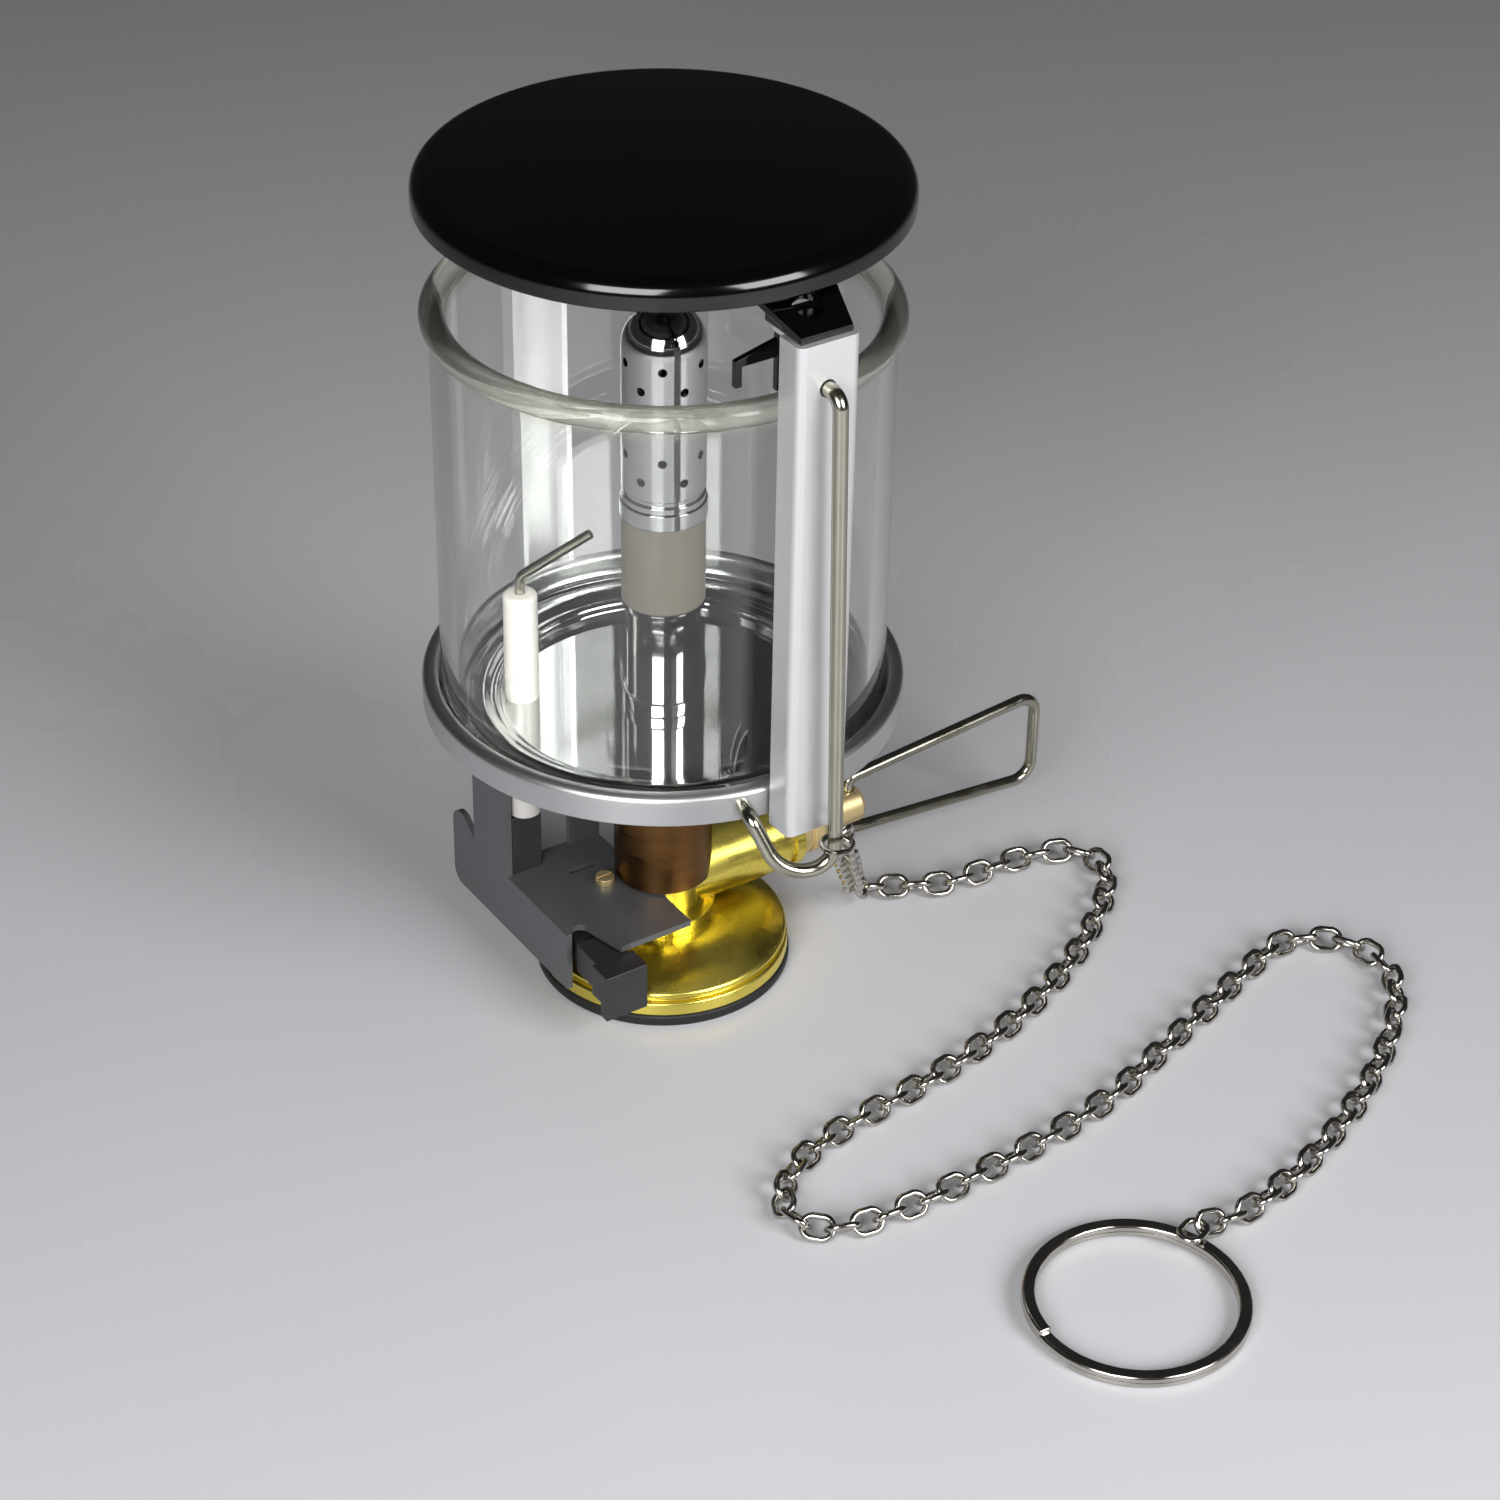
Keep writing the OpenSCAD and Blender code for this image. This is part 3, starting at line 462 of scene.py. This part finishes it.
def spun(mesh, steps):
    """Spins a section's edges once round Z into a closed skin that faces out."""
    bmesh.ops.spin(
        mesh, geom=mesh.verts[:] + mesh.edges[:], cent=ORIGIN, axis=UP, dvec=ORIGIN, angle=math.tau,
        steps=steps, use_merge=True, use_duplicate=False,
    )
    bmesh.ops.remove_doubles(mesh, verts=mesh.verts, dist=WELD)
    bmesh.ops.recalc_face_normals(mesh, faces=mesh.faces)
    return mesh


def turned(section, ring=True):
    """Spins a half section of (radius, height, corner) in millimetres round Z. A ring's section is closed."""
    mesh = bmesh.new()
    corners = outlined(mesh, [(r * MM, 0, z * MM) for r, z, _ in section], closed=ring)
    for corner, (_, _, bend) in zip(corners, section):
        if bend:
            rounded(mesh, corner, bend * MM, steps=5)
    return spun(mesh, bpy.context.scene.lantern_sizes.turn_steps)


def heights(node):
    """A solid's lowest and highest point in millimetres."""
    low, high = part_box(node)
    return low.z / MM, high.z / MM


def along_spindle(mesh, x):
    """Turns a piece made on Z to lie along the spindle, from x on."""
    place = Matrix.Translation((x * MM, 0, SPINDLE_Z * MM)) @ Matrix.Rotation(math.pi / 2, 4, "Y")
    bmesh.ops.transform(mesh, matrix=place, verts=mesh.verts)
    return mesh


def copied(node):
    """A merged copy of a solid, with its flat faces whole where they are convex."""
    flat = math.radians(0.4)
    mesh = bmesh.new()
    mesh.from_mesh(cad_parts[node].data)
    bmesh.ops.remove_doubles(mesh, verts=mesh.verts, dist=SOLID_WELD)
    bmesh.ops.dissolve_limit(
        mesh, angle_limit=flat, verts=mesh.verts, edges=mesh.edges, use_dissolve_boundaries=False
    )
    bmesh.ops.connect_verts_concave(mesh, faces=mesh.faces)
    return mesh


def piece_of(name, mesh, finish, body, node, ease=0.0, sharp=38):
    """A finished piece on its body, for its node: eased, and smooth but for edges over the sharp angle."""
    data = stored(mesh, name)
    data.shade_smooth()
    data.set_sharp_from_angle(angle=math.radians(sharp))
    data.materials.append(finish_of(finish))
    piece = placed(name, data)
    if ease:
        eased = piece.modifiers.new("eased_edges", "BEVEL")
        eased.width = ease
        eased.segments = 3
        eased.limit_method = "ANGLE"
        eased.angle_limit = math.radians(sharp)
        eased.harden_normals = True
    weighted = piece.modifiers.new("even_normals", "WEIGHTED_NORMAL")
    weighted.keep_sharp = True
    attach(piece, body)
    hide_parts(node)
    return piece


class LANTERN_OT_finishes(bpy.types.Operator):
    """Make the lantern's materials, and give the small inner solids theirs"""

    bl_idname = "lantern.finishes"
    bl_label = "Finishes"

    def execute(self, context):
        made = make_finishes(context.scene.lantern_colours)
        context.scene["lantern_finishes"] = {key: material.name for key, material in made.items()}
        inner = {
            "canister_seal": "rubber", "spindle_oring": "rubber", "valve_pin": "wire",
            "valve_spindle": "wire", "jet": "golden", "arm_rivets": "enamel",
        }
        for node, key in inner.items():
            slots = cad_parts[node].data.materials
            slots.clear()
            slots.append(made[key])
        return {"FINISHED"}


class LANTERN_OT_hood(bpy.types.Operator):
    """Make the domed hood and the strap and arms that carry it"""

    bl_idname = "lantern.hood"
    bl_label = "Hood"

    def execute(self, context):
        low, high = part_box("hood")
        rim, top, edge = low.z / MM, high.z / MM, high.x / MM
        wall, shoulder = 0.8, 1.45
        # Twice the radius of the dome's shallow curve
        crown = 491.8
        outer = [(r, top - r * r / crown, 0) for r in (0, 6, 12, 18, 22, 25)]
        inner = [(r, z - wall, 0) for r, z, _ in reversed(outer)]
        skirt = [
            (edge, top - shoulder, 2.0), (edge, rim, 0.3), (edge - wall, rim, 0.3),
            (edge - wall, top - shoulder - wall, 1.2),
        ]
        shell = turned(outer + skirt + inner, ring=False)
        piece_of("hood_shell", shell, "enamel", "lantern", "hood")
        ease = 0.4 * context.scene.lantern_sizes.edge_ease
        piece_of("hood_strap", copied("hood_arm"), "enamel", "lantern", "hood_arm", ease)
        return {"FINISHED"}


class LANTERN_OT_globe(bpy.types.Operator):
    """Make the open glass globe with its rolled rim"""

    bl_idname = "lantern.globe"
    bl_label = "Globe"

    def execute(self, context):
        low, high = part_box("glass_globe")
        foot, foot_round = low.z / MM, 0.75
        outer, inner, bead_r, steps = 26.7, 24.7, 1.55, 22
        bead = Vector((high.x / MM - bead_r, high.z / MM - bead_r))
        start = -math.acos((outer - bead.x) / bead_r)
        sweep = math.tau - math.acos((inner - bead.x) / bead_r) - start
        rim = [
            (bead.x + bead_r * math.cos(a), bead.y + bead_r * math.sin(a), 0)
            for a in (start + sweep * k / steps for k in range(steps + 1))
        ]
        near_foot, near_rim = foot + 2, bead.y - 4
        section = [
            (inner, near_foot, 0), (inner, foot, foot_round), (outer, foot, foot_round),
            (outer, near_foot, 0), (outer, near_rim, 0), *rim, (inner, near_rim, 0),
        ]
        globe = piece_of(
            "globe_glass", turned(section), "glass", "lantern", "glass_globe", sharp=60
        )
        # Thin clear glass casts next to no shadow on what stands in it
        globe.visible_shadow = False
        return {"FINISHED"}


class LANTERN_OT_dish(bpy.types.Operator):
    """Make the pressed dish under the globe, with its ridged shelf, rolled rim and skirt"""

    bl_idname = "lantern.dish"
    bl_label = "Dish"

    def execute(self, context):
        low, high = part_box("tray")
        pan_below_skirt = 1.4
        rim, skirt, edge = high.z / MM, low.z / MM + pan_below_skirt, high.x / MM
        floor, shelf, sheet = rim - 4.7, rim - 2.9, 0.6
        ridge = shelf + 0.7
        bore, seat = 3.5, 27
        upper = [
            (bore, floor, 0), (18.2, floor, 0), (19.3, floor, 0.6), (19.9, shelf, 0.5),
            (20.9, shelf, 0.35), (21.6, ridge, 0.35), (22.6, ridge, 0.35), (23.3, shelf, 0.35),
            (26.2, shelf, 0), (seat, shelf, 0.6), (seat, rim, 0.7), (edge, rim, 0.95),
            (edge, rim - 1.4, 0), (edge, skirt, 0.2),
        ]
        lower = [
            (edge - sheet, skirt, 0.2), (edge - sheet, rim - sheet, 0.4), (seat + sheet, rim - sheet, 0.3),
            (seat + sheet, shelf - sheet, 0.6), (23.1, shelf - sheet, 0.3), (22.4, ridge - sheet, 0.3),
            (21.8, ridge - sheet, 0.3), (21.1, shelf - sheet, 0.3), (19.3, shelf - sheet, 0.4),
            (18.8, floor - sheet, 0.5), (bore, floor - sheet, 0),
        ]
        piece_of("dish_sheet", turned(upper + lower), "dish", "lantern", "tray")
        return {"FINISHED"}


class LANTERN_OT_struts(bpy.types.Operator):
    """Make the two channel struts"""

    bl_idname = "lantern.struts"
    bl_label = "Struts"

    def execute(self, context):
        ease = context.scene.lantern_sizes.edge_ease
        for node in ("front_strut", "rear_strut"):
            name, slot = node + "_channel", "stainless_polished"
            piece_of(name, copied(node), "satin", "lantern", node, ease, sharp=30)
        return {"FINISHED"}


class LANTERN_OT_wires(bpy.types.Operator):
    """Make the rail wire on the front strut and the folding handle"""

    bl_idname = "lantern.wires"
    bl_label = "Wires"

    def execute(self, context):
        rail_r, eye_z, foot_z, end_z, end_angle = 0.9, 96, 34.7, 41.6, math.radians(-104)
        end = Vector((math.cos(end_angle), math.sin(end_angle)))
        rail = bent_line(
            [
                (-0.3, -30.8, eye_z), (-0.3, -35.4, eye_z), (0.9, -35.6, foot_z), (-5.5, -34, foot_z),
                (*(end * 31.6), end_z), (*(end * 28.1), end_z),
            ],
            [1.6, 3, 4.6, 1.6],
        )
        piece_of("rail_wire_bent", drawn_wire(rail, rail_r), "wire", "lantern", "rail_wire")

        handle_r, hinge, reach, pin, near, far = 0.79, 28.0, 30.0, 0.5, 4.0, 6.6
        half = [(hinge, pin), (hinge, near), (hinge + reach, far)]
        upper = [(x, 0, SPINDLE_Z + rise) for x, rise in half]
        lower = [(x, 0, SPINDLE_Z - rise) for x, rise in reversed(half)]
        handle = bent_line(upper + lower, [1, 2.6, 2.6, 1])
        piece_of("handle_wire", drawn_wire(handle, handle_r), "wire", "handle", "valve_handle")
        return {"FINISHED"}


class LANTERN_OT_burner(bpy.types.Operator):
    """Make the mixer column, burner tube, sleeve, collar and perforated head"""

    bl_idname = "lantern.burner"
    bl_label = "Burner"

    def execute(self, context):
        body, polished = "lantern", "stainless_polished"
        ease = context.scene.lantern_sizes.edge_ease
        piece_of("mixer_turned", copied("mixer_column"), "bronze", body, "mixer_column", ease, 32)

        low, top = heights("burner_tube")
        floor, ferrule, shoulder, flange = low + 5, 1.8, 52.6, 0.8
        bore, spigot_r, tube_r = 2.55, 3.35, 4.4
        tube = [
            (bore, low, 0), (spigot_r, low, 0.1), (spigot_r, floor, 0), (4.8, floor, 0.1),
            (4.8, floor + ferrule, 0.25), (tube_r, floor + ferrule, 0.1), (tube_r, shoulder, 0.15),
            (5, shoulder, 0.15), (5, shoulder + flange, 0), (tube_r, shoulder + flange, 0),
            (tube_r, top, 0.1), (bore, top, 0),
        ]
        piece_of("burner_tube_turned", turned(tube), "stainless", body, "burner_tube")

        over_tube = 4.45
        low, top = heights("burner_sleeve")
        sleeve = [(over_tube, low, 0), (5, low, 0.15), (5, top, 0.15), (over_tube, top, 0)]
        piece_of("sleeve_ceramic", turned(sleeve), "grey_ceramic", body, "burner_sleeve")

        low, top = heights("mantle_collar")
        collar = [(over_tube, low, 0), (5.2, low, 0.2), (5.2, top, 0.2), (over_tube, top, 0)]
        piece_of("collar_turned", turned(collar), "stainless", body, "mantle_collar")
        piece_of("burner_head_shell", self.head(), "stainless", body, "burner_head", sharp=45)
        return {"FINISHED"}

    def head(self):
        """The domed head with a groove near its foot and its rows of flame holes cut through."""
        low, top = heights("burner_head")
        radius, wall, groove, dome_steps = 5.0, 0.6, 0.3, 10
        dome = [math.radians(90 * k / dome_steps) for k in range(dome_steps + 1)]
        outer = [(radius * math.cos(a), top - radius + radius * math.sin(a), 0) for a in dome]
        thin = radius - wall
        inner = [(thin * math.cos(a), top - radius + thin * math.sin(a), 0) for a in reversed(dome)]
        foot = [
            (thin, low, 0), (radius, low, 0.1), (radius, low + 0.8, 0.1), (radius - groove, low + 0.9, 0.1),
            (radius - groove, low + 1.5, 0.1), (radius, low + 1.6, 0.1),
        ]
        data = stored(turned(inner + foot + outer, ring=False), "head_blank")
        drill_data = stored(self.drills(radius, low), "flame_drills")
        shell = placed("head_blank", data)
        cutter = placed("flame_drills", drill_data)
        cut = shell.modifiers.new("flame_holes", "BOOLEAN")
        cut.operation = "DIFFERENCE"
        cut.object = cutter
        cut.solver = "EXACT"
        done, mesh = as_built(shell)
        for holder in (shell, cutter):
            bpy.data.objects.remove(holder)
        for spare in (data, drill_data, done):
            bpy.data.meshes.remove(spare)
        return mesh

    def drills(self, radius, low):
        """Short rods where the flame holes go, each row turned half a step from the one below."""
        rows, count, first_turn, hole, depth = (4, 6.8, 15.4, 18.2), 6, 26, 0.55, 3
        step = 360 / count
        drills = bmesh.new()
        for row, height in enumerate(rows):
            for k in range(count):
                turn = Matrix.Rotation(math.radians(step * k + step / 2 * (row % 2) + first_turn), 4, "Z")
                place = turn @ Matrix.Translation((radius * MM, 0, (low + height) * MM))
                place @= Matrix.Rotation(math.pi / 2, 4, "Y")
                bmesh.ops.create_cone(
                    drills, cap_ends=True, segments=14, radius1=hole * MM, radius2=hole * MM,
                    depth=depth * MM, matrix=place,
                )
        return drills


class LANTERN_OT_valve(bpy.types.Operator):
    """Make the foot ring, brass base, valve, packing nut and knob"""

    bl_idname = "lantern.valve"
    bl_label = "Valve"

    def execute(self, context):
        ease = context.scene.lantern_sizes.edge_ease
        foot_h, thread_r, thread_len, seal_r = 1.6, 5.15, 4.6, 5.65
        foot = [(12, 0, 0.2), (16, 0, 0.5), (16, foot_h, 0.4), (12, foot_h, 0.2)]
        piece_of("foot_ring_rubber", turned(foot), "rubber", "lantern", "base_ring")
        base = [
            (thread_r, 0, 0.1), (11.85, 0, 0.2), (11.85, foot_h, 0), (15.8, foot_h, 0.2), (15.8, 3.4, 0.35),
            (15.1, 3.5, 0.1), (15.1, 4.0, 0.1), (15.6, 4.1, 0.2), (15.6, 4.7, 0.5), (13.4, 5.65, 1.2),
            (8.6, 6.6, 1.6), (seal_r, 6.6, 0), (seal_r, thread_len, 0), (thread_r, thread_len, 0),
        ]
        piece_of("base_disc_turned", turned(base), "brass", "lantern", "base_disc")
        casting = copied("valve_body")
        piece_of("valve_casting", casting, "brass", "lantern", "valve_body", 1.6 * ease, 32)

        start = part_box("packing_nut")[0].x / MM
        bore, nut_r, nut_len = 1.65, 4.1, 4.5
        nut = [
            (bore, 0, 0), (3.9, 0, 0.25), (nut_r, 0.35, 0.1), (nut_r, 1.5, 0.1), (3.8, 1.6, 0.1),
            (3.8, 1.9, 0.1), (nut_r, 2.0, 0.1), (nut_r, 3.5, 0.3), (3.1, nut_len, 0.3), (bore, nut_len, 0),
        ]
        nut_mesh = along_spindle(turned(nut), start)
        piece_of("packing_nut_turned", nut_mesh, "golden", "lantern", "packing_nut")
        knob = copied("spindle_knob")
        piece_of("spindle_knob_turned", knob, "golden", "spindle", "spindle_knob", ease, 32)
        return {"FINISHED"}


class LANTERN_OT_igniter(bpy.types.Operator):
    """Make the bracket, its screw, the igniter with its button, the lead and the electrode"""

    bl_idname = "lantern.igniter"
    bl_label = "Igniter"

    def execute(self, context):
        ease = context.scene.lantern_sizes.edge_ease
        body = "lantern"
        from_solids = (
            ("bracket_sheet", "igniter_bracket", "sheet_steel", body, "steel_grey", ease),
            ("bracket_screw_head", "bracket_screw", "golden", body, "brass_golden", ease),
            ("igniter_block", "igniter_body", "plastic", body, "plastic_black", ease),
            ("igniter_button_cap", "igniter_button", "plastic", "button", "plastic_black", 1.5 * ease),
            ("lead_boot", "ignition_lead", "plastic", body, "plastic_black", 2 * ease),
        )
        for name, node, finish, carrier, slot, width in from_solids:
            piece_of(name, copied(node), finish, carrier, node, width)

        low, high = (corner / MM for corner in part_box("electrode_insulator"))
        stand = Vector(((low.x + high.x) / 2, (low.y + high.y) / 2))
        bore, post_r, rod_r, tip_r = 0.65, 2.1, 0.6, 8.6
        post = [(bore, low.z, 0), (post_r, low.z, 0.3), (post_r, high.z, 0.6), (bore, high.z, 0)]
        mesh = turned(post)
        bmesh.ops.translate(mesh, vec=(*(stand * MM), 0), verts=mesh.verts)
        piece_of("insulator_post", mesh, "white_ceramic", body, "electrode_insulator")
        tip = stand.normalized() * tip_r
        sunk, bend_rise, tip_rise, bend = 1, 2.2, 8.3, 1.4
        spark = bent_line(
            [(*stand, low.z + sunk), (*stand, high.z + bend_rise), (*tip, high.z + tip_rise)], [bend]
        )
        piece_of("electrode_rod", drawn_wire(spark, rod_r), "wire", body, "electrode_wire")
        return {"FINISHED"}


def smooth_route(points, steps):
    """A curve through the points, in metres."""
    places = [Vector(p) * MM for p in points]
    ends = [places[0]] + places + [places[-1]]
    line = []
    for a, b, c, d in zip(ends, ends[1:], ends[2:], ends[3:]):
        for k in range(steps):
            t = k / steps
            line.append(0.5 * (2 * b + (c - a) * t + (2 * a - 5 * b + 4 * c - d) * t ** 2
                               + (3 * b - a - 3 * c + d) * t ** 3))
    return line + [places[-1]]


def run_of(line):
    """The length of a line."""
    return sum((b - a).length for a, b in zip(line, line[1:]))


def spaced(line, pitch):
    """Places and directions along a line, one pitch apart."""
    found, carry = [], 0.0
    for a, b in zip(line, line[1:]):
        run = (b - a).length
        while carry <= run:
            found.append((a.lerp(b, carry / run), (b - a).normalized()))
            carry += pitch
        carry -= run
    return found


class LANTERN_OT_chain(bpy.types.Operator):
    """Make the hanging chain's links, the ring on the rail wire and the split ring"""

    bl_idname = "lantern.chain"
    bl_label = "Chain"

    def ring(self, radius, wire, stretch=0.0):
        """A ring of round wire in the XY plane, pulled out along X into an oval."""
        steps, sides = 18, 8
        mesh = bmesh.new()
        place = Matrix.Translation((0, radius, 0)) @ Matrix.Rotation(math.pi / 2, 4, "Y")
        bmesh.ops.create_circle(mesh, segments=sides, radius=wire / 2, matrix=place)
        half_step = Matrix.Rotation(math.pi / steps, 3, "Z")
        bmesh.ops.rotate(mesh, cent=ORIGIN, matrix=half_step, verts=mesh.verts)
        spun(mesh, steps)
        for side in (-1, 1):
            half = [v for v in mesh.verts if v.co.x * side > 0]
            bmesh.ops.translate(mesh, vec=(side * stretch / 2, 0, 0), verts=half)
        return mesh

    def execute(self, context):
        sizes = context.scene.lantern_sizes
        wire = sizes.link_wire
        line = smooth_route(CHAIN_ROUTE, steps=12)
        run = run_of(line)
        onto_ring = self.laid_over(line, run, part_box("split_ring")[1].z + wire / 2)
        data = stored(self.links(sizes, onto_ring), "chain_links")
        data.shade_smooth()
        data.materials.append(finish_of("nickel"))
        chain = placed("chain_links", data)
        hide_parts("hanging_chain")
        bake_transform(chain)

        end_wire = 0.64 * MM
        low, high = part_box("chain_end_link")
        end_ring = self.ring((high.x - low.x - end_wire) / 2, end_wire)
        bmesh.ops.translate(end_ring, vec=(low + high) / 2, verts=end_ring.verts)
        piece_of("rail_ring", end_ring, "nickel", "chain_ring", "chain_end_link")

        split = self.split_ring(sizes.split_band)
        return {"FINISHED"}

    def links(self, sizes, line):
        """All of the chain's links in one bmesh, rolled to either side in turn, and the last one flat."""
        wire, reach = sizes.link_wire, run_of(line)
        count = round(reach / (sizes.link_length - 2 * wire))
        # A hair under the even pitch, so that rounding doesn't drop the last link
        pitch = 0.9999 * reach / count
        lean, sway = 45, 9
        dice = random.Random(CHAIN_SEED)
        mesh = bmesh.new()
        for i, (place, ahead) in enumerate(spaced(line, pitch)):
            side = UP.cross(ahead).normalized()
            turn = Matrix((ahead, side, ahead.cross(side))).transposed().to_4x4()
            roll = 0
            if i < count:
                roll = math.radians((lean if i % 2 else -lean) + dice.uniform(-sway, sway))
            link = self.ring((sizes.link_width - wire) / 2, wire, sizes.link_length - sizes.link_width)
            put = Matrix.Translation(place) @ turn @ Matrix.Rotation(roll, 4, "X")
            bmesh.ops.transform(link, matrix=put, verts=link.verts)
            data = stored(link, "link")
            mesh.from_mesh(data)
            bpy.data.meshes.remove(data)
        return mesh

    def laid_over(self, line, run, top):
        """The chain's line with its end led on and lifted, so that the last link lies over the split ring."""
        lead, rise_over, steps = 1.3 * MM, 7 * MM, 4
        inwards = (SPLIT_AT - line[-1]) * Vector((1, 1, 0))
        led = line + [line[-1] + inwards.normalized() * lead * k / steps for k in range(1, steps + 1)]
        gone, lifted = 0.0, []
        for a, b in zip([led[0]] + led, led):
            gone += (b - a).length
            t = max(0.0, 1 - (run + lead - gone) / rise_over)
            lifted.append(b + UP * (top - line[-1].z) * t * t * (3 - 2 * t))
        return lifted

    def split_ring(self, band):
        """A flat band wound nearly twice round, rising evenly by just over its own height."""
        wind, start, gap, steps = math.radians(700), math.radians(196), 0.06 * MM, 150
        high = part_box("split_ring")[1]
        outer = high.x - SPLIT_AT.x
        layer = high.z / 2 - gap
        section = ((outer - band, 0), (outer, 0), (outer, layer), (outer - band, layer))
        mesh = bmesh.new()
        outlined(mesh, [(r, 0, z) for r, z in section], closed=True)
        bmesh.ops.spin(
            mesh, geom=mesh.verts[:] + mesh.edges[:], cent=ORIGIN, axis=UP,
            dvec=(0, 0, (high.z - layer) / steps), angle=wind, steps=steps, use_merge=False,
            use_duplicate=False,
        )
        bmesh.ops.holes_fill(mesh, edges=mesh.edges, sides=4)
        bmesh.ops.recalc_face_normals(mesh, faces=mesh.faces)
        place = Matrix.Translation(SPLIT_AT) @ Matrix.Rotation(start, 4, "Z")
        bmesh.ops.transform(mesh, matrix=place, verts=mesh.verts)
        return piece_of("split_ring_turns", mesh, "nickel", "lantern", "split_ring", 0.4 * MM)


class LANTERN_OT_stage(bpy.types.Operator):
    """Make the floor, the soft lights and the camera"""

    bl_idname = "lantern.stage"
    bl_label = "Stage"

    def execute(self, context):
        scene = context.scene
        stage = scene.lantern_stage
        mesh = bmesh.new()
        bmesh.ops.create_grid(mesh, x_segments=2, y_segments=2, size=FLOOR_HALF)
        floor = placed("studio_floor", stored(mesh, "studio_floor"))
        # White acrylic sheet: pale and smooth, so that things on it show a faint soft reflection
        material, tree, shader, where = start_material(
            "white_acrylic_sheet", {"IOR": 1.49, "Specular IOR Level": 0.25}
        )
        vary(tree, shader, where, stage.floor, 120, 0.03, (0.26, 0.3))
        floor.data.materials.append(material)

        world = bpy.data.worlds.new("studio_dark")
        world.use_nodes = True
        world.node_tree.nodes["Background"].inputs["Color"].default_value = WORLD_GREY
        scene.world = world
        for name, place in SOFT_BOXES.items():
            lamp = bpy.data.lights.new(name, "AREA")
            lamp.shape = "RECTANGLE"
            lamp.size = SOFT_BOX_SIDE
            lamp.size_y = SOFT_BOX_SIDE
            lamp.energy = stage.key_power
            holder = placed(name, lamp)
            holder.location = place
            towards = Vector(SOFT_BOX_AIM) - Vector(place)
            holder.rotation_euler = towards.to_track_quat("-Z", "Y").to_euler()

        lens = bpy.data.cameras.new("photo_camera")
        lens.lens = stage.focal
        lens.sensor_width = 36
        lens.clip_start = 0.01
        camera = placed("photo_camera", lens)
        side = Vector(CAMERA_RIGHT).normalized()
        ahead = Vector(CAMERA_AHEAD).normalized()
        above = side.cross(ahead)
        roll = Matrix.Rotation(CAMERA_ROLL, 3, ahead)
        turn = Matrix((roll @ side, roll @ above, -ahead)).transposed().to_4x4()
        camera.matrix_world = Matrix.Translation(CAMERA_AT) @ turn
        scene.camera = camera
        scene.view_settings.view_transform = "Standard"
        return {"FINISHED"}


class LANTERN_PT_panel(bpy.types.Panel):
    """Lists the steps that build the lantern"""

    bl_idname = "LANTERN_PT_panel"
    bl_label = "Gas lantern"
    bl_space_type = "VIEW_3D"
    bl_region_type = "UI"
    bl_category = "Lantern"

    def draw(self, context):
        for step in STEPS:
            self.layout.operator(step.bl_idname)
        for key in GROUPS:
            group = getattr(context.scene, key)
            box = self.layout.box()
            for name in group.__annotations__:
                box.prop(group, name)


STEPS = (
    LANTERN_OT_stage, LANTERN_OT_finishes, LANTERN_OT_chain, LANTERN_OT_hood, LANTERN_OT_globe,
    LANTERN_OT_dish, LANTERN_OT_struts, LANTERN_OT_wires, LANTERN_OT_burner, LANTERN_OT_valve,
    LANTERN_OT_igniter,
)
GROUPS = {
    "lantern_sizes": LanternSizes, "lantern_colours": LanternColours, "lantern_stage": LanternStage,
}


def register():
    for kind in (*GROUPS.values(), *STEPS, LANTERN_PT_panel):
        bpy.utils.register_class(kind)
    for name, group in GROUPS.items():
        setattr(bpy.types.Scene, name, PointerProperty(type=group))


def unregister():
    for name in GROUPS:
        delattr(bpy.types.Scene, name)
    for kind in (LANTERN_PT_panel, *reversed(STEPS), *reversed(GROUPS.values())):
        bpy.utils.unregister_class(kind)


def main():
    register()
    bpy.ops.lantern.stage()
    bpy.ops.lantern.finishes()
    bpy.ops.lantern.chain()
    bpy.ops.lantern.hood()
    bpy.ops.lantern.globe()
    bpy.ops.lantern.dish()
    bpy.ops.lantern.struts()
    bpy.ops.lantern.wires()
    bpy.ops.lantern.burner()
    bpy.ops.lantern.valve()
    bpy.ops.lantern.igniter()


if __name__ == "__main__":
    main()
